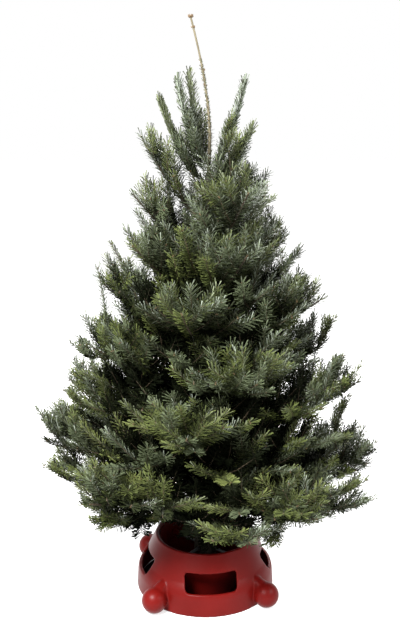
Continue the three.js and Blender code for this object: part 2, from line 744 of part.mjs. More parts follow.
/** Each screw is a rod with a wing outside the bowl, and stops short of the trunk. */
function addScrews(room) {
  QUARTERS.forEach((quarter, k) => {
    const azimuth = FIRST_BALL_AZIMUTH + quarter;
    const rod = radialBar(SCREW_RADIUS, SCREW_START, SCREW_END, SCREW_HEIGHT, azimuth);
    const wing = new THREE.BoxGeometry(WING_THICKNESS, WING_WIDTH, WING_HEIGHT);
    wing.translate(SCREW_END, 0, SCREW_HEIGHT);
    wing.rotateZ(radians(azimuth));
    addPiece(`clamp_screw_${k + 1}`, rod.add(solidOf(wing)).subtract(room), 'steel');
  });
}

const room = trunkSolid(TOUCH_GAP);
addPiece('trunk', trunkSolid(0), 'bark');
for (let index = 0; index < WHORLS.length; index += 1) {
  addWhorl(index, room);
}
addTopShoots(room);
addShell();
addBowl();
addScrews(room);

export default tree;
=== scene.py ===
"""Looks of a cut fir tree clamped in a moulded stand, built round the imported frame.

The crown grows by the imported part's own rule, in millimetres and with the same seeded
numbers, and carries it on to finer twigs, needles and buds. Meshes are in metres.
"""

import json
import logging
import math
from collections.abc import Callable
from dataclasses import dataclass, field
from enum import Enum, IntEnum

import bpy
import numpy as np
from mathutils import Matrix, Vector, noise

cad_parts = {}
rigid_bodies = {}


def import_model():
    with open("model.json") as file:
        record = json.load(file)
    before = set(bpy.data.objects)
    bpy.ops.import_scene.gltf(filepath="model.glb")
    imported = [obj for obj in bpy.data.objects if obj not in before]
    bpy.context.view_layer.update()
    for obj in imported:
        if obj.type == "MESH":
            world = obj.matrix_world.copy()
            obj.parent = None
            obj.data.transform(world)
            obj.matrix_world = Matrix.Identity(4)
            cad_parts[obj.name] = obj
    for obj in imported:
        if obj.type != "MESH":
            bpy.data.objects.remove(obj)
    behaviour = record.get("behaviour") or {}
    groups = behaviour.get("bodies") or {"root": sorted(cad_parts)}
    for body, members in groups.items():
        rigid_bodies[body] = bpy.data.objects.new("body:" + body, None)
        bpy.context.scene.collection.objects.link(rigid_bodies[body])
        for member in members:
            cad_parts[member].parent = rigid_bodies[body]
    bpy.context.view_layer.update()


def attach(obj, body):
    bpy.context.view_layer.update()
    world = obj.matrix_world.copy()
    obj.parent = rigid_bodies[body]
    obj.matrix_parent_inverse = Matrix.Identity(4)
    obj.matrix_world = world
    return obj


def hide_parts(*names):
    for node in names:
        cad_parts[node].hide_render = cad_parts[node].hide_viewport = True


LOG = logging.getLogger("fir_tree")
METRE = 0.001
BODY = "root"
HANDS = (-1, 1)
GOLDEN_ANGLE = 2.39996
GOLDEN_SHARE = 0.61803

Array = np.ndarray
Path = Callable[[float], Array]
Piece = bpy.types.Object
Material = bpy.types.Material
Node = bpy.types.ShaderNode
Socket = bpy.types.NodeSocket
Range = tuple[float, float]
Triple = tuple[float, float, float]
Colour = Triple
Curve = tuple[tuple[float, ...], tuple[float, ...]]
Feed = float | tuple[float, ...] | Socket


class Slot(Enum):
    """Material slots of the record."""

    BARK = "bark"
    BOUGH_WOOD = "bough_wood"
    NEEDLES = "needles"
    PLASTIC = "stand_plastic"
    STEEL = "steel"


class Tone(Enum):
    """Colour of the needles on one spray, as its place in a needle mesh's material slots."""

    # Near-black tone: painted shade for sprays deep inside the crown
    SHADE = 0
    DEEP = 1
    LEAF = 2
    FRESH = 3
    BLUE = 4
    DRY = 5


class Seed(IntEnum):
    """Where rows of drawn numbers start, the first three counted from a bough's own seed."""

    TONE = 5
    FINE = 500
    INNER = 900
    TRUNK = 4000
    TRUNK_TWIG = 4100
    FOOT_TWIG = 4300
    BETWEEN = 4600
    SINGLE_BOUGH = 4700
    TOP_SHOOT = 7000
    SPRIG = 8000


# Small helpers


def unit(vector: Array) -> Array:
    """Gives a vector or rows of vectors the length 1."""
    return vector / np.linalg.norm(vector, axis=-1, keepdims=True)


def mix(low: float, high: float, share: float) -> float:
    """Value at a share of the way from low to high."""
    return low + (high - low) * share


def clamp(value: float) -> float:
    """Value kept between 0 and 1."""
    return min(max(value, 0), 1)


def squared(reference: Array, direction: Array) -> Array:
    """Unit vectors nearest to a reference that are square to the directions."""
    along = np.sum(reference * direction, axis=-1, keepdims=True)
    return unit(reference - direction * along)


def heading(angle: float) -> tuple[Array, Array]:
    """Level unit vectors of a direction, in radians, and of the one to its left."""
    out = np.array([math.cos(angle), math.sin(angle), 0.0])
    return out, np.array([-out[1], out[0], 0.0])


def turned(vector: Array, axis: Array, angle: float) -> Array:
    """Turns a vector about a unit axis.

    Args:
        vector: The vector to turn.
        axis: Unit vector of the axis.
        angle: Angle in radians.

    Returns:
        The turned vector.
    """
    across = np.cross(axis, vector)
    along = axis * float(axis @ vector)
    return vector * math.cos(angle) + across * math.sin(angle) + along * (1 - math.cos(angle))


def along_line(line: Array, share: Array) -> Array:
    """Points or directions at shares of the way along rows of them."""
    steps = np.linspace(0, 1, len(line))
    return np.stack([np.interp(share, steps, line[:, k]) for k in range(3)], 1)


class Chance:
    """Repeatable numbers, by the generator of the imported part's source."""

    MODULUS = 2147483647
    FACTOR = 16807
    SKIPPED = 4

    def __init__(self, seed: int) -> None:
        """Starts the row of numbers that belongs to a seed.

        Args:
            seed: Any whole number from 0.
        """
        self.state = seed % (self.MODULUS - 1) + 1
        for _ in range(self.SKIPPED):
            self.state = self.state * self.FACTOR % self.MODULUS

    def draw(self, low: float, high: float) -> float:
        """Next number between low and high."""
        self.state = self.state * self.FACTOR % self.MODULUS
        return low + (high - low) * self.state / self.MODULUS

    def angle(self, low: float, high: float) -> float:
        """Next angle between low and high degrees, in radians."""
        return math.radians(self.draw(low, high))


# The tree's lines, in millimetres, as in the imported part


@dataclass(frozen=True)
class TrunkLine:
    """Middle line and thickness of the trunk, leader and end bud."""

    cut: float = 8.3
    top: float = 1800.0
    radius: float = 40.0
    taper_power: float = 0.9
    flare: float = 7.0
    flare_height: float = 120.0
    leader_start: float = 1330.0
    leader_radius: float = 7.0
    leader_tip_radius: float = 3.5
    end_bud: float = 28.0
    drift_start: float = 1075.0
    drift: float = 12.0
    bend_start: float = 1450.0
    bend: float = 59.0
    bend_power: float = 1.7

    def x_at(self, z: float) -> float:
        """Sideways place of the trunk's middle at a height.

        Args:
            z: The height.

        Returns:
            The place along x.
        """
        drift = clamp((z - self.drift_start) / (self.bend_start - self.drift_start))
        bend = max(0.0, (z - self.bend_start) / (self.top - self.bend_start))
        return self.drift * drift - self.bend * bend**self.bend_power

    def point(self, z: float) -> Array:
        """Middle of the trunk at a height."""
        return np.array([self.x_at(z), 0.0, z])

    def radius_at(self, z: float) -> float:
        """Radius of the trunk or leader at a height, without its buds.

        Args:
            z: The height.

        Returns:
            The radius.
        """
        if z > self.leader_start:
            leader = self.top - self.end_bud - self.leader_start
            left = 1 - min(1.0, (z - self.leader_start) / leader)
            return mix(self.leader_tip_radius, self.leader_radius, left**3)
        flare = max(0.0, 1 - (z - self.cut) / self.flare_height) ** 2
        taper = (self.radius - self.leader_radius) * (z / self.leader_start) ** self.taper_power
        return self.radius - taper + self.flare * flare


@dataclass(frozen=True)
class Whorl:
    """One ring of boughs and the layer of foliage that they carry.

    The layer rises from z, straight by rise and then in a curve by upturn. Towards the front
    it is shorter by trim and its end higher by lift. Left makes it longer and tilt higher on
    the left, and wide is half the width of one bough's fan.
    """

    z: float
    count: int
    turn: float
    reach: float
    rise: float
    upturn: float
    trim: float = 0.0
    lift: float = 0.0
    left: float = 0.0
    tilt: float = 0.0
    wide: float = 300.0

    def layer_height(self, distance: float, azimuth: float) -> float:
        """Height of the layer.

        Args:
            distance: How far from the trunk.
            azimuth: Direction from the trunk, in degrees.

        Returns:
            The height.
        """
        share = distance / self.reach
        return (
            self.z
            + self.rise * distance
            + self.upturn * distance * share
            + self.lift * frontness(azimuth) * share * share
            - self.tilt * math.cos(math.radians(azimuth)) * share
        )

    def reach_at(self, azimuth: float) -> float:
        """How far the layer reaches in a direction."""
        trimmed = 1 - self.trim * frontness(azimuth)
        return self.reach * (trimmed - self.left * math.cos(math.radians(azimuth)))


def frontness(azimuth: float) -> float:
    """How far a direction faces the front, from 0 at the sides to 1."""
    return clamp(-2 * math.sin(math.radians(azimuth)))


@dataclass(frozen=True)
class TopShoot:
    """One of the upright shoots round the foot of the leader."""

    z: float
    azimuth: float
    reach: float
    tip: float


@dataclass(frozen=True)
class Sprig:
    """One long young shoot that stands out of the crown: where it bends and where it ends."""

    bend: Triple
    tip: Triple


WHORLS = (
    Whorl(268, 6, -18, 566, -0.04, 0.22, 0.22, 52, -0.05, 10, 290),
    Whorl(380, 5, 16, 588, -0.14, 0.28, 0.14, 16, 0, 30, 330),
    Whorl(535, 4, -12, 496, 0.02, 0.33, 0.12, 8, -0.04, -28, 340),
    Whorl(668, 4, 20, 416, 0.08, 0.34, 0.10, 0, 0, 38, 310),
    Whorl(820, 4, -12, 368, 0.20, 0.34, 0.08, 0, -0.06, 26, 260),
    Whorl(955, 4, 30, 272, 0.40, 0.36, 0.06, 0, 0, 8, 190),
    Whorl(1085, 3, 178, 238, 0.60, 0.36, 0, 0, -0.1, 0, 110),
    Whorl(1188, 3, 180, 160, 0.90, 0.40, 0, 0, 0.2, 0, 58),
)

# The layer above the highest whorl
CROWN_TOP = Whorl(1318, 5, 180, 146, 1.0, 0.25)

# How many of the lowest whorls have boughs of their own under the foliage
LIMB_WHORLS = 3

# What each whorl's shoots are like, from the lowest: the size of the raised ones, how
# strongly they turn up, and how much the sides of a bough's fan are drawn in
RAISED_SIZES = (0.7, 0.76, 0.9, 0.94, 0.86, 0.74, 0.58, 0.42)
STEEPNESS = (0.3, 0.4, 0.8, 1, 1, 1, 1, 1)
FAN_ROUNDING = (1, 1, 1, 1, 1, 2, 2, 2)

# How many single boughs grow between a whorl and the next one up
BETWEEN_COUNTS = (6, 9, 8, 7, 6, 4)

TOP_SHOOTS = (
    TopShoot(1318, 180, 144, 1554),
    TopShoot(1346, 198, 96, 1608),
    TopShoot(1368, 152, 68, 1628),
    TopShoot(1350, 8, 108, 1606),
    TopShoot(1322, 340, 134, 1474),
)
SPRIGS = (
    Sprig((-227, 0, 1016), (-288, 0, 1134)),
    Sprig((-302, -16, 912), (-328, -20, 1063)),
    Sprig((-276, 24, 864), (-348, 30, 885)),
    Sprig((-345, -96, 775), (-376, -120, 847)),
    Sprig((-375, -48, 610), (-439, -60, 687)),
    Sprig((-472, 16, 478), (-542, 20, 596)),
    Sprig((-421, -48, 367), (-512, -60, 434)),
    Sprig((-311, -176, 339), (-372, -220, 377)),
    Sprig((-269, -224, 369), (-309, -280, 322)),
    Sprig((151, -24, 1228), (182, -30, 1312)),
    Sprig((191, 0, 1116), (226, 0, 1195)),
    Sprig((176, -48, 1074), (228, -60, 1119)),
    Sprig((356, 16, 808), (407, 20, 898)),
    Sprig((376, -48, 689), (423, -60, 796)),
    Sprig((402, -32, 551), (453, -40, 660)),
    Sprig((458, 0, 408), (551, 0, 491)),
    Sprig((416, -80, 326), (504, -100, 404)),
    Sprig((424, -112, 301), (523, -140, 358)),
    Sprig((237, -224, 310), (179, -280, 277)),
)


@dataclass(frozen=True)
class Ranges:
    """What one kind of twig draws its numbers between, and the factor of its seeds.

    Angles are in degrees. Size is a share or a length in millimetres.
    """

    factor: int = 1
    opening: Range = (0.0, 0.0)
    lift: Range = (0.0, 0.0)
    roll: Range = (0.0, 0.0)
    size: Range = (0.0, 0.0)


NODE_TWIG = Ranges(7, (-6, 6), (2, 14), (-22, 22), (0.72, 0.87))
LEADING_TWIG = Ranges(7, (-24, 24), (28, 44), size=(136, 204))
WEAK_TWIG = Ranges(11, (34, 56), (10, 40), (-30, 30), (0.4, 0.62))
ROW_SHOOT = Ranges(13, (8, 50), (30, 62), size=(96, 168))
HANGING_SHOOT = Ranges(23, lift=(-42, -8), size=(60, 110))
END_SHOOT = Ranges(17, (-6, 6), (4, 26), size=(0.7, 0.95))
INNER_TWIG = Ranges(19, (42, 66), (-10, 44), size=(80, 160))
FORKED_SHOOT = Ranges(3, (34, 52), (0, 30), (-25, 25), (0.85, 1.15))
RAISED_SHOOT = Ranges(5, (-38, 38), (34, 64), size=(78, 136))
TRUNK_TWIG = Ranges(lift=(20, 52), size=(0.34, 0.52))
FOOT_TWIG = Ranges(lift=(-26, 14), size=(90, 120))
TOP_SIDE_SHOOT = Ranges(opening=(18, 42), lift=(-4, 16), size=(0.8, 1.1))
SPRIG_SIDE_SHOOT = Ranges(opening=(26, 44), size=(10, 14))


@dataclass(frozen=True)
class Axes:
    """Place and directions of a shoot's root."""

    origin: Array
    ahead: Array
    side: Array
    up: Array

    @classmethod
    def at(cls, origin: Array, ahead: Array, side: Array) -> "Axes":
        """Axes at a point, with the side made square to the way ahead."""
        square = squared(side, ahead)
        return cls(origin, ahead, square, np.cross(ahead, square))

    def leaving(self, open_angle: float, lift: float, roll: float = 0.0) -> "Axes":
        """Axes of a shoot that leaves this one.

        Args:
            open_angle: Angle away from this shoot, with the sign of its hand, in radians.
            lift: Angle up out of this shoot's plane, in radians.
            roll: Turn about the new shoot's own line, in radians.

        Returns:
            The new shoot's axes.
        """
        flat = self.ahead * math.cos(open_angle) + self.side * math.sin(open_angle)
        ahead = unit(flat * math.cos(lift) + self.up * math.sin(lift))
        side = turned(unit(np.cross(self.up, ahead)), ahead, roll)
        return Axes(self.origin, ahead, side, np.cross(ahead, side))


@dataclass(frozen=True)
class Stem:
    """Line that twigs leave, given by the share of its length, and a side square to it."""

    path: Path
    side: Array
    step: float = 0.01

    def axes(self, u: float) -> Axes:
        """Place and directions at the share u of the line."""
        ahead = unit(self.path(u + self.step) - self.path(u - self.step))
        return Axes.at(self.path(u), ahead, self.side)

    def length(self) -> float:
        """Straight distance from the line's start to its end."""
        return float(np.linalg.norm(self.path(1) - self.path(0)))


@dataclass(frozen=True)
class Arc:
    """Line of a shoot that leaves its root straight and curls up, out of its plane or skyward."""

    root: Axes
    length: float
    curl: float
    sky: float

    def pull(self) -> Array:
        """What bends the line, as a share of its length at the tip."""
        return self.root.up * self.curl + np.array([0.0, 0.0, self.sky])

    def points(self) -> Array:
        """Five points from the root to the tip."""
        x = np.linspace(0, self.length, 5)[:, None]
        return self.root.origin + self.root.ahead * x + self.pull() * (x * x / self.length)

    def axes(self, x: float) -> Axes:
        """Place and directions on the line.

        Args:
            x: Distance from the root.

        Returns:
            The axes there.
        """
        origin = self.root.origin + self.root.ahead * x + self.pull() * (x * x / self.length)
        ahead = unit(self.root.ahead + self.pull() * (2 * x / self.length))
        return Axes.at(origin, ahead, self.root.side)


@dataclass(frozen=True)
class Habit:
    """How the shoots of one order grow.

    A shoot bends out of its plane by curl and skyward by sky, and isn't grown under its
    shortest length. One as long as parent carries pairs of side shoots, a gap apart, as long
    as the share of its rest and something extra. Raised is how often one more stands up.
    """

    curl: float
    sky: float
    shortest: float
    gap: float
    share: float
    extra: float
    parent: float
    raised: float


# By the order of the shoot; boughs, of order 0, follow their whorl
HABITS = (
    Habit(0.0, 0.0, 0, 0, 0, 0, 0, 0),
    Habit(0.10, 0.08, 80, 112, 0.50, 66, 0, 0.6),
    Habit(0.06, 0.20, 72, 90, 0.46, 50, 160, 0.3),
    Habit(0.04, 0.26, 62, 0, 0, 0, 999, 0),
)


@dataclass
class Shoot:
    """One grown shoot: its line and what it carries."""

    points: Array
    side: Array
    order: int
    tone: Tone
    piece: str
    thick: Range
    needled: Range = (0.0, 1.0)
    density: float = 1.0
    brush: float = 1.0
    inward: Array | None = None

    def length(self) -> float:
        """Length along the line, in millimetres."""
        return float(np.linalg.norm(np.diff(self.points, axis=0), axis=1).sum())


@dataclass(frozen=True)
class Room:
    """The sector of a layer that one bough's foliage keeps to.

    The lowest layer hangs a little. Finer shoots end earlier than the bough, more so at the
    sides of its fan, and the plume is how far they rise above the layer, at the trunk and at
    its end.
    """

    trunk: TrunkLine
    index: int
    sector: float
    hang: float = 38.0
    narrowing: float = 0.24
    end_share: float = 1.03
    end_trim: float = 0.05
    plume: Range = (200.0, 66.0)

    def scale(self) -> float:
        """Size of the raised shoots here, smaller towards the top of the crown."""
        return RAISED_SIZES[self.index]

    def steepness(self) -> float:
        """How strongly shoots turn up here: little in the lowest layers."""
        return STEEPNESS[self.index]

    def border(self, index: int, distance: float, azimuth: float) -> float:
        """Height between a whorl's layer and the next one up.

        Args:
            index: Which whorl.
            distance: How far from the trunk.
            azimuth: Direction from the trunk, in degrees.

        Returns:
            The height.
        """
        upper = WHORLS[index + 1] if index + 1 < len(WHORLS) else CROWN_TOP
        low = WHORLS[index].layer_height(distance, azimuth)
        return (low + upper.layer_height(distance, azimuth)) / 2

    def holds(self, point: Array, slack: float, above: float) -> bool:
        """Whether a point lies in the room.

        Args:
            point: The point, in millimetres.
            slack: How far past its borders the room goes, in millimetres.
            above: How far it goes up into the next layer's room, in millimetres.

        Returns:
            True if the point lies inside.
        """
        whorl = WHORLS[self.index]
        dx = point[0] - self.trunk.x_at(whorl.z)
        distance = math.hypot(dx, point[1])
        azimuth = math.degrees(math.atan2(point[1], dx))
        reach = whorl.reach_at(azimuth)
        layer = whorl.layer_height(distance, azimuth)
        aside = abs((azimuth - self.sector + 180) % 360 - 180)
        to_side = distance * math.sin(math.radians(min(180 / whorl.count - aside, 90)))
        to_side = min(to_side, whorl.wide - distance * math.sin(math.radians(min(aside, 90))))
        if self.index == 0:
            bottom = layer - self.hang
        else:
            bottom = self.border(self.index - 1, distance, azimuth)
        fan = self.narrowing * FAN_ROUNDING[self.index]
        trim = self.end_trim + fan * (aside * whorl.count / 180) ** 2
        to_end = reach * (self.end_share - trim * (above > 0)) - distance
        to_top = self.border(self.index, distance, azimuth) - point[2]
        plume = layer + mix(*self.plume, min(distance / reach, 1) ** 2)
        to_top = min(to_top + above * self.steepness(), plume - point[2])
        return min(to_side + slack, to_top, point[2] - bottom + slack, to_end) > 0


@dataclass(frozen=True)
class Core:
    """The room close round the trunk, between and below the whorls."""

    trunk: TrunkLine
    reach: float
    low: float
    steep: float = 0.8

    def holds(self, point: Array, slack: float, above: float) -> bool:
        """Whether a point lies in the room; above isn't limited here."""
        distance = math.hypot(point[0] - self.trunk.x_at(point[2]), point[1])
        return min(self.reach + slack - distance, point[2] - self.low) > 0

    def steepness(self) -> float:
        """How strongly shoots turn up here."""
        return self.steep


@dataclass(frozen=True)
class Home:
    """Where a shoot belongs: the room that it keeps to and the mass that it is part of."""

    room: Room | Core
    piece: str


@dataclass(frozen=True)
class Mass:
    """One mass of foliage as it grows, with the numbers that its finer twigs draw."""

    stem: Stem
    seed: int
    home: Home
    length: float
    fine: Chance


@dataclass(frozen=True)
class ToneRule:
    """How often each tone is dealt out, by depth in the crown, height and nearness.

    Depths are shares of the crown's radius, places are in millimetres, and the rest is how
    often a tone is picked.
    """

    light_depth: float = 0.74
    depth_fade: float = 0.26
    shade_top: float = 1250.0
    shade_fade: float = 250.0
    fresh_top: float = 820.0
    fresh_front: float = 0.3
    high_start: float = 900.0
    fade: float = 400.0
    fresh: Range = (0.01, 0.2)
    leaf: Range = (0.40, 0.2)
    blue: Range = (0.72, 0.08)

    def pick(self, chance: Chance, point: Array, depth: float) -> Tone:
        """Picks the tone of a spray.

        Sprays deep inside take the near-black shade tone, which is painted shade. Young
        yellow-green ones sit low at the front, and the top has more of the bluish ones.

        Args:
            chance: Seeded numbers.
            point: The spray's tip.
            depth: How far out it lies, as a share of the crown's radius.

        Returns:
            The tone.
        """
        share = chance.draw(0, 1)
        inside = (self.light_depth - depth) / self.depth_fade
        if chance.draw(0, 1) < inside * clamp((self.shade_top - point[2]) / self.shade_fade):
            return Tone.SHADE
        low = clamp((self.fresh_top - point[2]) / self.fade)
        front = clamp(self.fresh_front - point[1] / self.fade)
        if share < self.fresh[0] + self.fresh[1] * low * front:
            return Tone.FRESH
        high = clamp((point[2] - self.high_start) / self.fade)
        if share < self.leaf[0] - self.leaf[1] * high:
            return Tone.LEAF
        if share < self.blue[0] + self.blue[1] * high:
            return Tone.BLUE
        return Tone.DEEP


@dataclass
class Crown:
    """Grows every bough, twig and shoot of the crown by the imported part's rule.

    Places along a stem are shares of it, and other sizes are in millimetres.
    """

    trunk: TrunkLine
    tones: ToneRule = ToneRule()
    limb_share: float = 0.36
    limb_gap: float = 0.3
    limb_thick: Range = (10.5, 2.2)
    upper_thick: Range = (6.5, 2.0)
    bare_foot: float = 0.16
    internode: float = 150.0
    first_node: float = 0.03
    first_upper_node: float = 0.3
    node_opening: Range = (37, 50)
    twig_extra: float = 26.0
    weak_extra: float = 46.0
    last_weak: float = 0.97
    row_gap: float = 82.0
    row_span: Range = (0.06, 0.84)
    hanging_wider: float = 1.2
    end_forks: tuple[Range, ...] = ((0.6, 44), (0.77, 38))
    inner_places: tuple[float, ...] = (0.13, 0.19, 0.25, 0.31)
    trunk_twigs: int = 76
    trunk_span: Range = (225, 1290)
    trunk_twig_sizes: Range = (430, 190)
    foot_twigs: int = 16
    foot_start: float = 182.0
    foot_step: float = 5.0
    root_depth: float = 2.0
    bough_turn: Range = (-5, 5)
    bough_reach: Range = (0.95, 1.02)
    bough_lift: Range = (-10, 10)
    bough_density: float = 0.75
    single_turn: Range = (-12, 12)
    single_height: Range = (0.2, 0.6)
    single_reach: Range = (0.78, 0.98)
    twig_thick: Range = (1.3, 1.1)
    twig_taper: float = 0.010
    node_span: float = 0.92
    first_fork: float = 0.08
    fork_span: float = 0.66
    shrink_steps: tuple[float, ...] = (1.0, 0.88, 0.76, 0.64, 0.52)
    slack: float = 16.0
    above: float = 62.0
    tip_depths: Range = (0.72, 0.95)
    densities: Range = (0.86, 1.16)
    shade_density: float = 0.55
    top_thick: Range = (4.6, 2.3)
    top_side_shoots: tuple[Range, ...] = ((0.10, 105), (0.24, 96), (0.4, 70))
    top_side_thick: Range = (2.2, 1.1)
    top_powers: Range = (0.66, 1.15)
    top_density: float = 2.2
    top_brush: float = 1.2
    top_side_density: float = 1.3
    leader_span: Range = (1330, 1670)
    leader_needles: tuple[tuple[Tone, float], ...] = ((Tone.LEAF, 0.5), (Tone.DRY, 0.35))
    leader_brush: float = 0.42
    sprig_thick: Range = (3.2, 1.4)
    sprig_side_thick: Range = (1.8, 1.1)
    sprig_lift: float = 0.2
    sprig_density: float = 1.15
    sprig_brush: float = 0.72
    sprig_side_brush: float = 0.68
    sprig_nodes: tuple[int, ...] = (3, 5, 6)
    bushy_below: float = 830.0
    next_whorl: float = 60.0
    top_reach: float = 60.0
    shoots: list[Shoot] = field(default_factory=list)
    boughs: list[Shoot] = field(default_factory=list)

    def grow(self) -> None:
        """Grows all whorls, the twigs on the trunk, the shoots round the leader and the sprigs."""
        for index, whorl in enumerate(WHORLS):
            for k in range(whorl.count):
                self.grow_bough(index, k)
        self.grow_on_trunk()
        self.grow_between_whorls()
        for k, shoot in enumerate(TOP_SHOOTS):
            self.grow_top_shoot(k, shoot)
        self.grow_leader()
        self.grow_sprigs()

    def depth(self, point: Array) -> float:
        """How far out a point lies.

        Args:
            point: The point.

        Returns:
            Its distance from the trunk as a share of the crown's radius at that height.
        """
        heights = [whorl.layer_height(whorl.reach, 0) for whorl in WHORLS] + [self.trunk.top]
        reaches = [whorl.reach for whorl in WHORLS] + [self.top_reach]
        return math.hypot(point[0], point[1]) / float(np.interp(point[2], heights, reaches))

    def grow_bough(self, index: int, k: int) -> None:
        """Grows one bough with its foliage.

        Args:
            index: Which whorl, from the lowest.
            k: Which bough of the whorl.
        """
        whorl = WHORLS[index]
        limb = index < LIMB_WHORLS
        seed = 1000 * (index + 1) + 37 * k
        chance = Chance(seed)
        sector = whorl.turn + 360 * k / whorl.count
        azimuth = sector + chance.draw(*self.bough_turn)
        reach = whorl.reach_at(azimuth) * chance.draw(*self.bough_reach)
        tip_lift = chance.draw(*self.bough_lift)
        out, side = heading(math.radians(azimuth))
        foot = np.array([self.trunk.x_at(whorl.z), 0.0, 0.0])

        def path(u: float) -> Array:
            """Point of the bough's line.

            Args:
                u: Share of its reach.

            Returns:
                The point.
            """
            point = foot + out * (reach * u)
            point[2] = whorl.layer_height(reach * u, azimuth) + tip_lift * u
            return point

        start = self.limb_share + self.limb_gap / reach if limb else 0.0
        line = np.array([path(u) for u in np.linspace(0.02, 1, 17)])
        thick = self.limb_thick if limb else self.upper_thick
        tone = self.tones.pick(Chance(seed + Seed.TONE), line[-1], self.depth(line[-1]))
        needled = (max(start, self.bare_foot), 1.0)
        home = Home(Room(self.trunk, index, sector), f"{index + 1}_{k + 1}")
        bough = Shoot(line, side, 0, tone, home.piece, thick, needled, self.bough_density)
        self.boughs.append(bough)
        self.shoots.append(bough)
        outer = Stem(lambda u: path(mix(start, 1, u)), side)
        mass = Mass(outer, seed, home, outer.length(), Chance(seed + Seed.FINE))
        self.grow_mass(mass, self.first_node if limb else self.first_upper_node)
        if limb:
            self.grow_inner(Stem(path, side), seed, home)

    def grow_mass(self, mass: Mass, first: float) -> None:
        """Grows the side twigs of one mass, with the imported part's draws, and finer ones.

        Args:
            mass: The mass.
            first: Where on its stem the first twigs leave.
        """
        chance = Chance(mass.seed)
        nodes = max(1, round(mass.length * (1 - first) / self.internode))
        for node in range(nodes):
            at = mix(first, 1, node / nodes)
            axes = mass.stem.axes(at)
            for hand in HANDS:
                spread = chance.draw(*NODE_TWIG.opening)
                open_angle = math.radians(mix(*self.node_opening, node / nodes) + spread)
                lift = chance.angle(*NODE_TWIG.lift)
                share = chance.draw(*NODE_TWIG.size)
                roll = chance.angle(*NODE_TWIG.roll)
                twig = axes.leaving(hand * open_angle, lift, roll)
                size = (1 - at) * mass.length * share + self.twig_extra
                seed = mass.seed * NODE_TWIG.factor + node * 2 + hand
                self.branch(twig, size, 1, seed, mass.home)
            between = min(self.last_weak, at + 0.5 * (1 - first) / nodes)
            self.grow_weak_twigs(mass, between, mass.seed + node)
        open_angle = chance.angle(*LEADING_TWIG.opening)
        lift = chance.angle(*LEADING_TWIG.lift)
        raised = mass.stem.axes(0.5).leaving(open_angle, lift)
        size = chance.draw(*LEADING_TWIG.size)
        self.branch(raised, size, 1, mass.seed * LEADING_TWIG.factor + 91, mass.home)
        self.grow_row(mass)
        self.grow_end(mass)

    def grow_weak_twigs(self, mass: Mass, at: float, seed: int) -> None:
        """Grows the weaker pair of twigs between two nodes.

        Args:
            mass: The mass.
            at: Where on its stem they leave.
            seed: Seed of the pair.
        """
        axes = mass.stem.axes(at)
        for hand in HANDS:
            open_angle = mass.fine.angle(*WEAK_TWIG.opening)
            lift = mass.fine.angle(*WEAK_TWIG.lift)
            size = (1 - at) * mass.length * mass.fine.draw(*WEAK_TWIG.size) + self.weak_extra
            twig = axes.leaving(hand * open_angle, lift, mass.fine.angle(*WEAK_TWIG.roll))
            self.branch(twig, size, 1, seed * WEAK_TWIG.factor + hand + 3, mass.home)

    def grow_row(self, mass: Mass) -> None:
        """Grows the shoots that stand up in a row on a bough, and those that hang under it.

        Args:
            mass: The mass.
        """
        room, fine = mass.home.room, mass.fine
        count = max(2, round(mass.length / self.row_gap))
        for k in range(count):
            axes = mass.stem.axes(mix(*self.row_span, (k + 0.5) / count))
            open_angle = fine.angle(*ROW_SHOOT.opening) * (1 if k % 2 else -1)
            lift = fine.angle(*ROW_SHOOT.lift) * mix(0.5, 1, room.steepness())
            raised = axes.leaving(open_angle, lift)
            size = fine.draw(*ROW_SHOOT.size) * room.scale()
            self.branch(raised, size, 2, mass.seed * ROW_SHOOT.factor + k, mass.home)
            aside = -open_angle * self.hanging_wider
            hanging = axes.leaving(aside, fine.angle(*HANGING_SHOOT.lift))
            size = fine.draw(*HANGING_SHOOT.size) * room.scale()
            self.branch(hanging, size, 2, mass.seed * HANGING_SHOOT.factor + k, mass.home)

    def grow_end(self, mass: Mass) -> None:
        """Grows the forked shoots near the end of a bough.

        Args:
            mass: The mass.
        """
        for place, open_degrees in self.end_forks:
            axes = mass.stem.axes(place)
            for hand in HANDS:
                open_angle = math.radians(open_degrees + mass.fine.draw(*END_SHOOT.opening))
                share = (1 - place) * mass.length
                size = share * mass.fine.draw(*END_SHOOT.size) + self.twig_extra
                twig = axes.leaving(hand * open_angle, mass.fine.angle(*END_SHOOT.lift))
                seed = mass.seed * END_SHOOT.factor + int(place * 90) + hand
                self.branch(twig, size, 2, seed, mass.home)

    def grow_inner(self, stem: Stem, seed: int, home: Home) -> None:
        """Grows the shaded twigs along the bare foot of a big bough.

        Args:
            stem: The whole bough.
            seed: Seed of the bough.
            home: Where its twigs belong.
        """
        fine = Chance(seed + Seed.INNER)
        for place in self.inner_places:
            axes = stem.axes(place)
            for hand in HANDS:
                open_angle = fine.angle(*INNER_TWIG.opening)
                twig = axes.leaving(hand * open_angle, fine.angle(*INNER_TWIG.lift))
                size = fine.draw(*INNER_TWIG.size)
                twig_seed = seed * INNER_TWIG.factor + int(place * 90) + hand
                self.branch(twig, size, 2, twig_seed, home)

    def trunk_axes(self, z: float, azimuth: float, lift: float) -> Axes:
        """Axes of a twig that leaves the trunk.

        Args:
            z: Height, in millimetres.
            azimuth: Direction that it leaves in, in degrees.
            lift: Angle above the level, in degrees.

        Returns:
            The twig's axes.
        """
        rise = math.radians(lift)
        out, side = heading(math.radians(azimuth))
        bark = self.trunk.radius_at(z) - self.root_depth
        origin = self.trunk.point(z) + out * bark
        ahead = out * math.cos(rise) + np.array([0, 0, math.sin(rise)])
        return Axes(origin, ahead, side, np.cross(ahead, side))

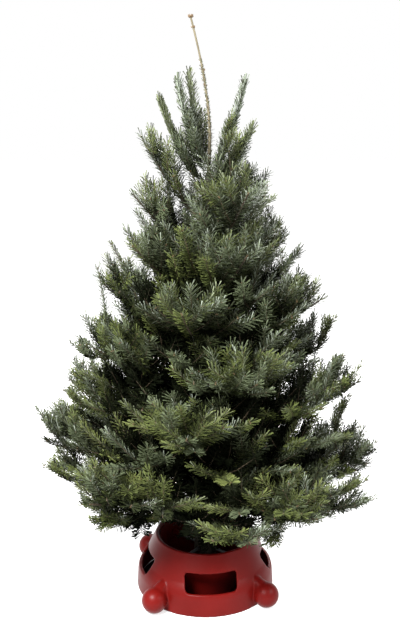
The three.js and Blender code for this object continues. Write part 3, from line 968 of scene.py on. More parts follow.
    def nearest_mass(self, z: float, azimuth: float) -> str:
        """Finds the mass whose sector a twig on the trunk belongs to.

        Args:
            z: Height, in millimetres.
            azimuth: Direction that the twig leaves in, in degrees.

        Returns:
            Name of the mass.
        """
        top = max(z + self.next_whorl, WHORLS[0].z)
        index = max(i for i, whorl in enumerate(WHORLS) if whorl.z <= top)
        whorl = WHORLS[index]
        sector = round((azimuth - whorl.turn) * whorl.count / 360) % whorl.count
        return f"{index + 1}_{sector + 1}"

    def grow_on_trunk(self) -> None:
        """Grows the short shaded twigs on the trunk between the whorls and at its foot."""
        chance = Chance(Seed.TRUNK)
        for k in range(self.trunk_twigs):
            z = mix(*self.trunk_span, (k + chance.draw(0, 1)) / self.trunk_twigs)
            azimuth = math.degrees(k * GOLDEN_ANGLE)
            axes = self.trunk_axes(z, azimuth, chance.draw(*TRUNK_TWIG.lift))
            longest = float(np.interp(z, self.trunk_span, self.trunk_twig_sizes))
            size = chance.draw(*TRUNK_TWIG.size) * longest
            room = Core(self.trunk, reach=size * 1.1 + 40, low=190)
            home = Home(room, self.nearest_mass(z, azimuth))
            self.branch(axes, size, 2, Seed.TRUNK_TWIG + k, home)
        for k in range(self.foot_twigs):
            z = self.foot_start + self.foot_step * k
            azimuth = math.degrees(k * GOLDEN_ANGLE)
            axes = self.trunk_axes(z, azimuth, chance.draw(*FOOT_TWIG.lift))
            room = Core(self.trunk, reach=138, low=140)
            home = Home(room, self.nearest_mass(z, azimuth))
            self.branch(axes, chance.draw(*FOOT_TWIG.size), 2, Seed.FOOT_TWIG + k, home)

    def grow_between_whorls(self) -> None:
        """Grows the single boughs that fill the room between two whorls."""
        chance = Chance(Seed.BETWEEN)
        habit = HABITS[1]
        for index, count in enumerate(BETWEEN_COUNTS):
            whorl, upper = WHORLS[index], WHORLS[index + 1]
            for k in range(count):
                spread = chance.draw(*self.single_turn)
                azimuth = whorl.turn + 360 * (k + 0.5) / count + spread
                z = mix(whorl.z, upper.z, chance.draw(*self.single_height))
                reach = (whorl.reach_at(azimuth) + upper.reach_at(azimuth)) / 2
                out = reach * chance.draw(*self.single_reach)
                height = (whorl.layer_height(out, azimuth) + upper.layer_height(out, azimuth)) / 2
                bent = (habit.curl + habit.sky) * out
                steep = math.degrees(math.atan2(height - bent - z, out))
                axes = self.trunk_axes(z, azimuth, steep)
                room = Core(self.trunk, reach=out, low=230)
                home = Home(room, self.nearest_mass(z, azimuth))
                size = out / math.cos(math.radians(steep))
                self.branch(axes, size, 1, Seed.SINGLE_BOUGH + 40 * index + k, home)

    def branch(self, axes: Axes, length: float, order: int, seed: int, home: Home) -> None:
        """Grows one shoot as long as it has room, with the finer shoots on it.

        Args:
            axes: The shoot's root.
            length: Length that it would like, in millimetres.
            order: 1 on a bough, and 1 more for each fork.
            seed: Seed of the shoot.
            home: Where the shoot belongs.
        """
        habit = HABITS[order]
        slack = self.slack * (order - 1)
        above = self.above * min(1, order - 1)
        for shrink in self.shrink_steps:
            sky = habit.sky * home.room.steepness()
            arc = Arc(axes, length * shrink, habit.curl, sky)
            points = arc.points()
            if all(home.room.holds(p, slack, above) for p in points[2::2]):
                break
        else:
            return
        if arc.length < habit.shortest:
            return
        chance = Chance(seed)
        depth = self.depth(points[-1])
        tone = self.tones.pick(chance, points[-1], depth)
        foot, tip = self.twig_thick
        thick = (foot + arc.length * self.twig_taper, tip)
        density = float(np.interp(depth, self.tip_depths, self.densities))
        density = self.shade_density if tone is Tone.SHADE else density
        shoot = Shoot(points, axes.side, order, tone, home.piece, thick, density=density)
        self.shoots.append(shoot)
        if arc.length < habit.parent:
            return
        nodes = max(1, round(arc.length * self.node_span / habit.gap))
        for node in range(nodes):
            at = arc.length * (self.first_fork + self.fork_span * (node + 0.5) / nodes)
            here = arc.axes(at)
            for hand in HANDS:
                open_angle = chance.angle(*FORKED_SHOOT.opening)
                lift = chance.angle(*FORKED_SHOOT.lift)
                roll = chance.angle(*FORKED_SHOOT.roll)
                size = (arc.length - at) * habit.share + habit.extra
                child = here.leaving(hand * open_angle, lift, roll)
                size *= chance.draw(*FORKED_SHOOT.size)
                child_seed = seed * FORKED_SHOOT.factor + node * 2 + hand + 1
                self.branch(child, size, order + 1, child_seed, home)
            if chance.draw(0, 1) < habit.raised:
                open_angle = chance.angle(*RAISED_SHOOT.opening)
                raised = here.leaving(open_angle, chance.angle(*RAISED_SHOOT.lift))
                size = chance.draw(*RAISED_SHOOT.size)
                child_seed = seed * RAISED_SHOOT.factor + node
                self.branch(raised, size, order + 1, child_seed, home)

    def grow_top_shoot(self, k: int, shoot: TopShoot) -> None:
        """Grows one upright shoot at the foot of the leader, with its short side shoots.

        Args:
            k: Which of the top shoots.
            shoot: Its sizes.
        """
        out, side = heading(math.radians(shoot.azimuth))
        foot = np.array([self.trunk.x_at(shoot.z), 0.0, 0.0])
        flat, steep = self.top_powers

        def path(u: float) -> Array:
            """Point of the shoot's line, which steepens at once and then goes straight up.

            Args:
                u: Share of its height.

            Returns:
                The point.
            """
            share = max(0.0, u)
            point = foot + out * (shoot.reach * (share**flat + min(0.0, u)))
            point[2] = mix(shoot.z, shoot.tip, share**steep)
            return point

        piece = f"top_{k + 1}"
        tones = (Tone.LEAF, Tone.BLUE)
        line = np.array([path(u) for u in np.linspace(0, 1, 13)])
        upright = Shoot(line, side, 0, tones[k % 2], piece, self.top_thick, (0.04, 1))
        upright.density, upright.brush, upright.inward = self.top_density, self.top_brush, -out
        self.shoots.append(upright)
        chance = Chance(Seed.TOP_SHOOT + k)
        stem = Stem(path, side)
        for place, size in self.top_side_shoots:
            axes = stem.axes(place)
            for hand in HANDS:
                open_angle = chance.angle(*TOP_SIDE_SHOOT.opening)
                twig = axes.leaving(hand * open_angle, chance.angle(*TOP_SIDE_SHOOT.lift))
                long = size * chance.draw(*TOP_SIDE_SHOOT.size)
                grown = self.side_shoot(Arc(twig, long, curl=0.02, sky=0.16), piece)
                grown.tone, grown.thick = tones[hand > 0], self.top_side_thick
                grown.density = self.top_side_density

    def side_shoot(self, arc: Arc, piece: str) -> Shoot:
        """Adds a short shoot that carries no others.

        Args:
            arc: Its line.
            piece: Name of its mass.

        Returns:
            The shoot, whose looks are still to be set.
        """
        shoot = Shoot(arc.points(), arc.root.side, 2, Tone.LEAF, piece, (1, 1))
        self.shoots.append(shoot)
        return shoot

    def grow_leader(self) -> None:
        """Adds the short needles that lie close along the foot of the leader."""
        line = np.array([self.trunk.point(z) for z in np.linspace(*self.leader_span, 15)])
        side = np.array([0.0, 1.0, 0.0])
        for tone, density in self.leader_needles:
            shoot = Shoot(line, side, 0, tone, "top_1", (3, 2), density=density)
            shoot.brush = self.leader_brush
            self.shoots.append(shoot)

    def grow_sprigs(self) -> None:
        """Grows the long young shoots that stand out, each from the nearest bough or twig."""
        hosts = [shoot for shoot in self.shoots if shoot.order < 2]
        places = np.concatenate([shoot.points for shoot in hosts])
        owners = [shoot.piece for shoot in hosts for _ in shoot.points]
        share = np.linspace(0, 1, 9)[:, None]
        for k, sprig in enumerate(SPRIGS):
            bend, tip = np.array(sprig.bend), np.array(sprig.tip)
            nearest = int(np.argmin(np.linalg.norm(places - bend, axis=1)))
            line = mix(mix(places[nearest], bend, share), mix(bend, tip, share), share)
            side = unit(np.cross([0.0, 0.0, 1.0], tip - places[nearest]))
            piece = owners[nearest]
            tone = (Tone.LEAF, Tone.BLUE)[k % 2]
            shoot = Shoot(line, side, 1, tone, piece, self.sprig_thick)
            shoot.density, shoot.brush = self.sprig_density, self.sprig_brush
            self.shoots.append(shoot)
            chance = Chance(Seed.SPRIG + k)
            for place in self.sprig_nodes if sprig.bend[2] < self.bushy_below else ():
                axes = Axes.at(line[place], unit(line[place + 1] - line[place]), side)
                for hand in HANDS:
                    open_angle = chance.angle(*SPRIG_SIDE_SHOOT.opening)
                    twig = axes.leaving(hand * open_angle, self.sprig_lift)
                    long = (len(line) - place) * chance.draw(*SPRIG_SIDE_SHOOT.size)
                    grown = self.side_shoot(Arc(twig, long, curl=0.04, sky=0.2), piece)
                    grown.tone, grown.thick = tone, self.sprig_side_thick
                    grown.brush = self.sprig_side_brush


# Finishes


@dataclass
class Graph:
    """A new material: its Principled shader and the nodes that feed it."""

    name: str
    material: Material = field(init=False)

    def __post_init__(self) -> None:
        """Makes the material."""
        self.material = bpy.data.materials.new(self.name)
        self.material.use_nodes = True

    def feed(self, node: Node, feeds: dict[str, Feed]) -> Node:
        """Sets the inputs of a node.

        Args:
            node: The node.
            feeds: For each input the value that it has all over, or the output linked to it.

        Returns:
            The node.
        """
        for name, feed in feeds.items():
            if isinstance(feed, Socket):
                self.material.node_tree.links.new(feed, node.inputs[name])
            else:
                node.inputs[name].default_value = feed
        return node

    def add(self, kind: str, feeds: dict[str, Feed]) -> Node:
        """Adds a node of a kind with its inputs."""
        return self.feed(self.material.node_tree.nodes.new(f"ShaderNode{kind}"), feeds)

    def place(self) -> Socket:
        """Adds the place on the piece itself."""
        return self.add("TexCoord", {}).outputs["Object"]

    def clouds(self, place: Feed, scale: float, detail: float = 2.0) -> Socket:
        """Adds noise of a scale."""
        feeds = {"Vector": place, "Scale": scale, "Detail": detail}
        return self.add("TexNoise", feeds).outputs["Fac"]

    def colours(self, share: Feed, *steps: tuple[float, Colour]) -> Socket:
        """Adds a blend between two colours.

        Args:
            share: What picks the colour.
            steps: Place and colour of both ends of the blend.

        Returns:
            The colour.
        """
        ramp = self.add("ValToRGB", {"Fac": share})
        for element, (position, colour) in zip(ramp.color_ramp.elements, steps):
            element.position = position
            element.color = (*colour, 1)
        return ramp.outputs["Color"]

    def spread(self, value: Feed, ends: Range, start: Range = (0.0, 1.0)) -> Socket:
        """Adds a step that maps a value's range to another.

        Args:
            value: The value.
            ends: What the ends of its range become.
            start: Its range.

        Returns:
            The mapped value.
        """
        feeds = {"Value": value, "From Min": start[0], "From Max": start[1]}
        feeds |= {"To Min": ends[0], "To Max": ends[1]}
        return self.add("MapRange", feeds).outputs["Result"]

    def relief(self, height: Feed, strength: float, distance: float) -> Socket:
        """Adds a relief of the surface."""
        feeds = {"Height": height, "Strength": strength, "Distance": distance}
        return self.add("Bump", feeds).outputs["Normal"]

    def finish(self, feeds: dict[str, Feed]) -> Material:
        """Sets the inputs of the shader and gives the material."""
        self.feed(self.material.node_tree.nodes["Principled BSDF"], feeds)
        return self.material


def plain_material(name: str, colour: Colour, rough: float, shine: float) -> Material:
    """Makes a material that is the same all over, with its roughness and specular shine."""
    feeds = {"Base Color": (*colour, 1), "Roughness": rough, "Specular IOR Level": shine}
    return Graph(name).finish(feeds)


@dataclass(frozen=True)
class NeedleFinish:
    """Plain waxy colours of one tone of needle: its upper side and its banded underside."""

    name: str
    upper: Colour
    under: Colour
    roughness: float = 0.46
    specular: float = 0.13

    def materials(self) -> list[Material]:
        """Makes the materials of a needle.

        Returns:
            The material of its upper side and that of its underside.
        """
        made = []
        for part, colour in (("upper", self.upper), ("under", self.under)):
            name = f"needle_{self.name}_{part}"
            material = plain_material(name, colour, self.roughness, self.specular)
            material.diffuse_color = (*colour, 1)
            made.append(material)
        return made


NEEDLE_FINISHES = {
    # Near-black needles: painted shade deep inside the crown
    Tone.SHADE: NeedleFinish(
        "shade", (0.0026, 0.0036, 0.0012), (0.004, 0.005, 0.0026), 0.8, 0.03
    ),
    Tone.DEEP: NeedleFinish("deep", (0.014, 0.018, 0.0058), (0.042, 0.048, 0.030)),
    Tone.LEAF: NeedleFinish("leaf", (0.060, 0.073, 0.0215), (0.140, 0.158, 0.098)),
    Tone.FRESH: NeedleFinish("fresh", (0.078, 0.091, 0.0275), (0.140, 0.156, 0.080)),
    Tone.BLUE: NeedleFinish("blue", (0.058, 0.071, 0.038), (0.200, 0.225, 0.180)),
    Tone.DRY: NeedleFinish("dry", (0.105, 0.076, 0.042), (0.120, 0.090, 0.055)),
}

# Darker tone for the needles at the foot of a shoot, partly older needles and partly painted shade
# where the shoots shade each other, and for needles darkened at random
FOOT_SHADE_AND_DARK_TONE = {
    Tone.SHADE: Tone.SHADE,
    Tone.DEEP: Tone.SHADE,
    Tone.LEAF: Tone.DEEP,
    Tone.FRESH: Tone.DEEP,
    Tone.BLUE: Tone.DEEP,
    Tone.DRY: Tone.DRY,
}


@dataclass(frozen=True)
class BarkFinish:
    """Bark: two tones in streaks and patches, and a fine rough relief."""

    name: str
    dark: Colour
    light: Colour
    streak_scale: float
    stretch: Triple = (1.0, 1.0, 0.35)
    grain_ratio: float = 9
    blend: Range = (0.32, 0.68)
    bump: float = 0.5
    bump_height: float = 0.0012
    roughness: float = 0.86
    specular: float = 0.25

    def material(self) -> Material:
        """Makes the material.

        Returns:
            The material.
        """
        graph = Graph(self.name)
        place = graph.place()
        stretched = graph.add("Mapping", {"Vector": place, "Scale": self.stretch})
        patches = graph.clouds(stretched.outputs["Vector"], self.streak_scale, 6)
        colour = graph.colours(patches, *zip(self.blend, (self.dark, self.light)))
        grain = graph.clouds(place, self.streak_scale * self.grain_ratio, 4)
        feeds = {"Base Color": colour, "Roughness": self.roughness}
        feeds["Normal"] = graph.relief(grain, self.bump, self.bump_height)
        return graph.finish(feeds | {"Specular IOR Level": self.specular})


@dataclass(frozen=True)
class PlainFinish:
    """A plain colour for many small parts, such as twigs, buds or the cut wood."""

    name: str
    colour: Colour
    roughness: float = 0.75
    specular: float = 0.3

    def material(self) -> Material:
        """Makes the material."""
        return plain_material(self.name, self.colour, self.roughness, self.specular)


@dataclass(frozen=True)
class PlasticFinish:
    """Satin moulded plastic with a faint unevenness of colour, gloss and surface."""

    name: str = "red_moulded_plastic"
    deep: Colour = (0.074, 0.0026, 0.0019)
    worn: Colour = (0.100, 0.0036, 0.0027)
    blend: Range = (0.3, 0.72)
    cloud_scale: float = 7
    pore_scale: float = 520
    bump: float = 0.1
    bump_height: float = 0.0003
    roughness: Range = (0.30, 0.44)
    specular: float = 0.09

    def material(self) -> Material:
        """Makes the material.

        Returns:
            The material.
        """
        graph = Graph(self.name)
        place = graph.place()
        clouds = graph.clouds(place, self.cloud_scale, 3)
        colour = graph.colours(clouds, *zip(self.blend, (self.deep, self.worn)))
        feeds = {"Base Color": colour, "Roughness": graph.spread(clouds, self.roughness)}
        pores = graph.clouds(place, self.pore_scale)
        feeds["Normal"] = graph.relief(pores, self.bump, self.bump_height)
        return graph.finish(feeds | {"Specular IOR Level": self.specular})


@dataclass(frozen=True)
class SteelFinish:
    """Zinc-plated steel with a slightly mottled gloss."""

    name: str = "zinc_plated_steel"
    colour: Colour = (0.15, 0.155, 0.16)
    mottle_scale: float = 160
    roughness: Range = (0.26, 0.5)

    def material(self) -> Material:
        """Makes the material.

        Returns:
            The material.
        """
        graph = Graph(self.name)
        mottle = graph.clouds(graph.place(), self.mottle_scale)
        feeds = {"Base Color": (*self.colour, 1), "Metallic": 1.0}
        return graph.finish(feeds | {"Roughness": graph.spread(mottle, self.roughness)})


# Meshes from arrays


@dataclass
class Shape:
    """Points, triangles and material numbers that are gathered into one mesh."""

    points: list[Array] = field(default_factory=list)
    faces: list[Array] = field(default_factory=list)
    marks: list[Array] = field(default_factory=list)
    size: int = 0

    def add(self, points: Array, faces: Array, marks: Array | int = 0) -> None:
        """Adds one closed body.

        Args:
            points: Rows of points, in millimetres.
            faces: Rows of three point numbers, counted from 0.
            marks: Material number of each face, or one for all.
        """
        self.points.append(points)
        self.faces.append(faces + self.size)
        self.marks.append(np.broadcast_to(np.asarray(marks), (len(faces),)))
        self.size += len(points)

    def make(self, name: str, materials: list[Material], smooth: bool) -> Piece:
        """Makes the mesh object.

        Args:
            name: Name of the piece.
            materials: Materials in the order of the marks.
            smooth: Whether the faces are shaded smooth.

        Returns:
            The new object, linked to the scene.
        """
        points = np.concatenate(self.points).astype(np.float32) * METRE
        faces = np.concatenate(self.faces).astype(np.int32)
        marks = np.concatenate(self.marks).astype(np.int32)
        mesh = bpy.data.meshes.new(name)
        mesh.vertices.add(len(points))
        mesh.vertices.foreach_set("co", points.ravel())
        mesh.loops.add(faces.size)
        mesh.loops.foreach_set("vertex_index", faces.ravel())
        mesh.polygons.add(len(faces))
        mesh.polygons.foreach_set("loop_start", np.arange(0, faces.size, 3, dtype=np.int32))
        mesh.polygons.foreach_set("material_index", marks)
        mesh.polygons.foreach_set("use_smooth", np.full(len(faces), smooth))
        for material in materials:
            mesh.materials.append(material)
        mesh.update(calc_edges=True)
        return linked(name, mesh)


def linked(name: str, data: bpy.types.ID) -> Piece:
    """Puts a mesh, a light or a camera into the scene as a new object.

    Args:
        name: Name of the object.
        data: What it shows.

    Returns:
        The object.
    """
    made = bpy.data.objects.new(name, data)
    bpy.context.scene.collection.objects.link(made)
    return made


def settle(piece: Piece, slot: Slot, *names: str) -> None:
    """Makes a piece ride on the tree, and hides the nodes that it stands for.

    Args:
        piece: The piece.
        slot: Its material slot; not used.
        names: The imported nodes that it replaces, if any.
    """
    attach(piece, BODY)
    if names:
        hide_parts(*names)
    LOG.info("%s: %d faces", piece.name, len(piece.data.polygons))


def tube(line: Array, side: Array, radii: Array, sides: int, pointed: bool) -> tuple[Array, Array]:
    """A closed tube along a line.

    Args:
        line: Points of the line.
        side: Reference that the rings are turned by.
        radii: Radius at each point, or a row of radii for each point.
        sides: Corners of each ring.
        pointed: Whether the tube ends in a point instead of a flat end.

    Returns:
        The tube's points and triangles.
    """
    ahead = unit(np.gradient(line, axis=0))
    across = squared(np.broadcast_to(side, ahead.shape), ahead)
    third = np.cross(ahead, across)
    angles = 2 * math.pi * np.arange(sides) / sides
    wide = np.broadcast_to(np.reshape(radii, (len(line), -1)), (len(line), sides))
    rings = (
        line[:, None, :]
        + across[:, None, :] * (np.cos(angles) * wide)[:, :, None]
        + third[:, None, :] * (np.sin(angles) * wide)[:, :, None]
    )
    count = len(line) - (1 if pointed else 0)
    points = np.concatenate([rings[:count].reshape(-1, 3), line[:1], line[-1:]])
    i = np.arange(sides)
    j = (i + 1) % sides
    faces = []
    for ring in range(count - 1):
        low, high = ring * sides, (ring + 1) * sides
        faces.append(np.stack([low + i, low + j, high + j], 1))
        faces.append(np.stack([low + i, high + j, high + i], 1))
    foot, tip = count * sides, count * sides + 1
    faces.append(np.stack([np.full(sides, foot), j, i], 1))
    last = (count - 1) * sides
    faces.append(np.stack([np.full(sides, tip), last + i, last + j], 1))
    return points, np.concatenate(faces)


# Sub-assemblies


@dataclass
class Needles:
    """All needles: slim closed bodies, green above and silvery below.

    Sizes are in millimetres and angles in radians. A curve is a row of places and a row of
    values there. Turns are measured round the shoot, from its upper side.
    """

    per_metre: float = 890.0
    fewest: int = 6
    length: float = 34.0
    lengths: Range = (0.86, 1.1)
    tip_width: float = 3.3
    # Wider needles on the shade-tone sprays: dark filling as painted shade
    shade_width: float = 4.8
    root_height: float = 0.55
    first_turn: float = math.radians(10)
    turn_span: float = math.radians(106)
    turn_power: float = 0.6
    turn_noise: float = 0.12
    slant_by_turn: Curve = ((0, 0.7, 1.3, 2.2), (0.40, 0.70, 1.02, 0.88))
    slant_by_place: Curve = ((0, 0.1, 0.8, 0.95, 1), (1.1, 1.0, 0.98, 0.86, 0.56))
    slant_noise: float = 0.06
    length_by_turn: Curve = ((0, 0.9, 1.6, 2.1), (0.66, 0.94, 1.1, 0.8))
    length_by_place: Curve = ((0, 0.12, 0.85, 1), (0.72, 1.0, 1.0, 0.9))
    outer_limit: float = -0.15
    outer_slant: float = 0.34
    outer_length: float = 0.6
    skyward: float = 0.65
    facing_noise: float = 0.26
    # Share of each shoot's foot whose needles are darkened, partly as painted shade
    shaded_foot_shares: Range = (0.24, 0.4)
    dark_share: float = 0.26
    seed: int = 11

    def build(self, shoots: list[Shoot], groups: dict[str, list[str]]) -> None:
        """Builds one piece for each group of masses.

        Args:
            shoots: All shoots of the crown.
            groups: Name of each piece, and the masses whose needles it holds.
        """
        random = np.random.default_rng(self.seed)
        materials = [m for tone in Tone for m in NEEDLE_FINISHES[tone].materials()]
        for name, masses in groups.items():
            shape = Shape()
            for shoot in shoots:
                if shoot.piece in masses:
                    self.add_brush(shape, shoot, random)
            piece = shape.make(name, materials, smooth=False)
            settle(piece, Slot.NEEDLES, *map(node_of, masses))

    def add_brush(self, shape: Shape, shoot: Shoot, random: np.random.Generator) -> None:
        """Adds the needles of one shoot.

        Args:
            shape: What the needles are added to.
            shoot: The shoot.
            random: Seeded random numbers.
        """
        start, end = shoot.needled
        wanted = shoot.length() * METRE * (end - start) * self.per_metre * shoot.density
        count = max(self.fewest, round(wanted))
        number = np.arange(count)
        share = start + (end - start) * (number + random.random(count)) / count
        local = (share - start) / (end - start)
        place = along_line(shoot.points, share)
        ahead = unit(along_line(unit(np.gradient(shoot.points, axis=0)), share))
        side = squared(np.broadcast_to(shoot.side, ahead.shape), ahead)
        up = np.cross(ahead, side)
        up = up * np.where(up[:, 2:] < 0, -1, 1)

        upright = ahead[:, 2:].ravel() ** 2
        even = (number * GOLDEN_SHARE) % 1.0
        comb = self.first_turn + self.turn_span * even**self.turn_power
        turn = comb * (1 - upright) + math.pi * even * upright
        turn = turn + random.normal(0, self.turn_noise, count)
        hand = np.where(number % 2, 1.0, -1.0)
        radial = up * np.cos(turn)[:, None] + side * (hand * np.sin(turn))[:, None]

        slant = np.interp(np.abs(turn), *self.slant_by_turn)
        slant = slant * np.interp(local, *self.slant_by_place)
        slant = slant + random.normal(0, self.slant_noise, count)
        length = np.interp(local, *self.length_by_place)
        if shoot.inward is not None:
            outer = radial @ shoot.inward < self.outer_limit
            slant = np.where(outer, self.outer_slant, slant)
            length = np.where(outer, length * self.outer_length, length)
        length = length * np.interp(np.abs(turn), *self.length_by_turn)
        length = self.length * shoot.brush * length * random.uniform(*self.lengths, count)
        outward = ahead * np.cos(slant)[:, None] + radial * np.sin(slant)[:, None]

        lean = random.normal(0, self.facing_noise, (count, 3))
        facing = squared(ahead + np.array([0.0, 0.0, self.skyward]) + lean, outward)
        across = self.shade_width if shoot.tone is Tone.SHADE else self.tip_width
        width = np.cross(facing, outward) * (across / 2)
        tip = place + outward * length[:, None]
        height = facing * self.root_height
        points = np.stack([place + height, place - height, tip + width, tip - width], 1)
        pattern = np.array([[0, 3, 2], [1, 2, 3], [0, 1, 3], [0, 2, 1]])
        faces = (4 * number[:, None, None] + pattern[None]).reshape(-1, 3)
        marks = self.marks(shoot, local, random)
        shape.add(points.reshape(-1, 3), faces, marks)

    def marks(self, shoot: Shoot, local: Array, random: np.random.Generator) -> Array:
        """Picks the materials of a shoot's needles, darker at its foot, partly older needles and
        partly painted shade, and darker at random here and there.

        Args:
            shoot: The shoot.
            local: Share of the needled part where each needle sits.
            random: Seeded random numbers.

        Returns:
            Material number of each triangle, of which a needle's second is its underside.
        """
        # Painted shade, partly older needles: the needles at a shoot's foot take the darker tone;
        # others are darkened at random
        shaded_foot_and_dark = local < random.uniform(*self.shaded_foot_shares) * (shoot.order > 0)
        shaded_foot_and_dark = shaded_foot_and_dark | (random.random(len(local)) < self.dark_share)
        upper = 2 * np.where(shaded_foot_and_dark, FOOT_SHADE_AND_DARK_TONE[shoot.tone].value, shoot.tone.value)
        return (upper[:, None] + np.array([0, 1, 0, 0])).ravel()


@dataclass(frozen=True)
class BudRing:
    """Buds round the leader: at what height, how many, how long and how far they lean out."""

    z: float
    count: int
    length: float
    out: float


@dataclass
class Wood:
    """Trunk, boughs, twigs and buds.

    Sizes are in millimetres. Furrow, wrinkle and blister are forms of the bark's relief, each
    with its height and size, and then the furrow's stretch, the wrinkle's own height along
    the trunk and the noise that a blister starts at. A bud has a length and a radius.
    """

    trunk: TrunkLine
    bark: BarkFinish = BarkFinish("fir_bark", (0.018, 0.014, 0.011), (0.052, 0.042, 0.031), 28)
    leader: BarkFinish = BarkFinish(
        "leader_bark", (0.070, 0.060, 0.036), (0.125, 0.108, 0.068), 60
    )
    limb: BarkFinish = BarkFinish("limb_bark", (0.016, 0.011, 0.007), (0.042, 0.029, 0.017), 45)
    twig: PlainFinish = PlainFinish("young_twig", (0.036, 0.024, 0.012))
    bud: PlainFinish = PlainFinish("resin_bud", (0.075, 0.047, 0.022), 0.5)
    cut: PlainFinish = PlainFinish("cut_wood", (0.250, 0.180, 0.105))
    trunk_sides: int = 48
    trunk_rings: int = 330
    trunk_end: float = 10.0
    leader_bark_start: float = 60.0
    furrow: Triple = (1.1, 16.0, 0.35)
    wrinkle: Triple = (0.45, 22.0, 3.2)
    blister: Triple = (2.6, 6.5, 0.32)
    full_relief: float = 16.0
    sunk: float = 0.6
    collar_size: Range = (2.4, 13.0)
    full_collar: float = 20.0
    limb_sides: int = 10
    limb_rings: int = 44
    limb_taper: float = 0.8
    lump: float = 0.13
    lump_size: float = 7.0
    lump_shift: float = 1.7
    end_bud: Range = (6.0, 1.8)
    side_bud: Range = (6.5, 2.1)
    belly: float = 0.42
    bud_rings: tuple[BudRing, ...] = (
        BudRing(1786, 5, 13.5, 0.55),
        BudRing(1758, 3, 11.0, 0.55),
        BudRing(1640, 1, 9.0, 0.9),
        BudRing(1600, 1, 8.0, 0.9),
    )
    ring_bud_ratio: float = 0.3
    ring_bud_lean: Triple = (-0.2, 0, 1.0)
    ring_bud_root: float = 0.6
    crown_bud: Range = (14.0, 4.6)
    crown_bud_foot: Range = (1788.0, 1786.0)
    crown_bud_lean: Triple = (-0.25, 0, 1.0)
    bud_depth: float = 2.0
    side_bud_lean: float = 0.6
    seed: int = 5

    def relief(self, z: float, angle: float, radius: float) -> float:
        """Height of the trunk's bark: fine level wrinkles, blisters and long furrows.

        Args:
            z: Height on the trunk.
            angle: Direction round it, in radians.
            radius: Its radius there.

        Returns:
            The height above the smooth trunk.
        """
        spot = Vector((math.cos(angle) * radius, math.sin(angle) * radius, z))
        height, size, stretch = self.furrow
        relief = height * noise.fractal(Vector((*spot.xy, spot.z * stretch)) / size, 0.9, 2, 4)
        height, size, level = self.wrinkle
        relief += height * noise.noise(Vector((spot.x / size, spot.y / size, z / level)))
        height, size, start = self.blister
        relief += height * max(0.0, noise.noise(spot / size) - start)
        return relief * min(1.0, radius / self.full_relief)

    def collar(self, z: float) -> float:
        """Swelling of the trunk where boughs leave it.

        Args:
            z: Height on the trunk.

        Returns:
            How much its radius grows.
        """
        height, wide = self.collar_size
        places = [whorl.z for whorl in WHORLS] + [TOP_SHOOTS[0].z]
        return sum(height * math.exp(-(((z - place) / wide) ** 2)) for place in places)

    def build_trunk(self) -> None:
        """Builds the trunk and the leader as one tapering mesh with relief."""
        sides = self.trunk_sides
        heights = np.linspace(self.trunk.cut, self.trunk.top - self.trunk_end, self.trunk_rings)
        line = np.array([self.trunk.point(z) for z in heights])
        radii = np.empty((len(heights), sides))
        for row, z in enumerate(heights):
            plain = self.trunk.radius_at(z)
            radius = plain + self.collar(z) * min(1, plain / self.full_collar)
            for column in range(sides):
                relief = self.relief(z, 2 * math.pi * column / sides, radius)
                radii[row, column] = radius + relief - self.sunk
        points, faces = tube(line, np.array([1.0, 0, 0]), radii, sides, False)
        middle = points[faces].mean(axis=1)
        leader_bark = self.trunk.leader_start + self.leader_bark_start
        marks = np.where(middle[:, 2] > leader_bark, 1, 0)
        marks[-2 * sides : -sides] = 2
        shape = Shape()
        shape.add(points, faces, marks)
        materials = [self.bark.material(), self.leader.material(), self.cut.material()]
        settle(shape.make("trunk_bark", materials, smooth=True), Slot.BARK, "trunk")

    def build_boughs(self, boughs: list[Shoot]) -> None:
        """Builds all boughs with bark relief.

        Args:
            boughs: Lines of the boughs.
        """
        shape = Shape()
        steps = np.linspace(0, 1, self.limb_rings)
        for bough in boughs:
            line = along_line(bough.points, steps)
            radii = np.empty((len(steps), self.limb_sides))
            for row, (share, point) in enumerate(zip(steps, line)):
                base = mix(*bough.thick, share**self.limb_taper)
                for column in range(self.limb_sides):
                    spot = Vector(point) / self.lump_size + Vector((column * self.lump_shift, 0, 0))
                    radii[row, column] = base * (1 + self.lump * noise.noise(spot))
            shape.add(*tube(line, bough.side, radii, self.limb_sides, True))
        nodes = [f"bough_{b.piece}" for b in boughs if int(b.piece[0]) <= LIMB_WHORLS]
        piece = shape.make("bough_bark", [self.limb.material()], smooth=True)
        settle(piece, Slot.BOUGH_WOOD, *nodes)

    def build_twigs(self, shoots: list[Shoot]) -> None:
        """Builds the wood of all twigs.

        Args:
            shoots: All shoots of the crown.
        """
        shape = Shape()
        for shoot in shoots:
            if shoot.order > 0:
                line = shoot.points if shoot.order == 1 else shoot.points[::2]
                radii = np.linspace(*shoot.thick, len(line))
                shape.add(*tube(line, shoot.side, radii, 3, True))
        settle(shape.make("twig_wood", [self.twig.material()], smooth=True), Slot.BOUGH_WOOD)

    def add_bud(self, shape: Shape, foot: Array, ahead: Array, length: float, wide: float) -> None:
        """Adds one bud as a spindle of four sides.

        Args:
            shape: What the bud is added to.
            foot: Point where it sits.
            ahead: Direction that it points in.
            length: Its length.
            wide: Its radius.
        """
        across = unit(np.cross(ahead, [0.3, 0.5, 0.8]))
        third = np.cross(ahead, across)
        belly = foot + ahead * (length * self.belly)
        ring = belly + np.array([across, third, -across, -third]) * wide
        points = np.array([foot, *ring, foot + ahead * length])
        faces = []
        for k in range(4):
            a, b = 1 + k, 1 + (k + 1) % 4
            faces += [[0, b, a], [5, a, b]]
        shape.add(points, np.array(faces))

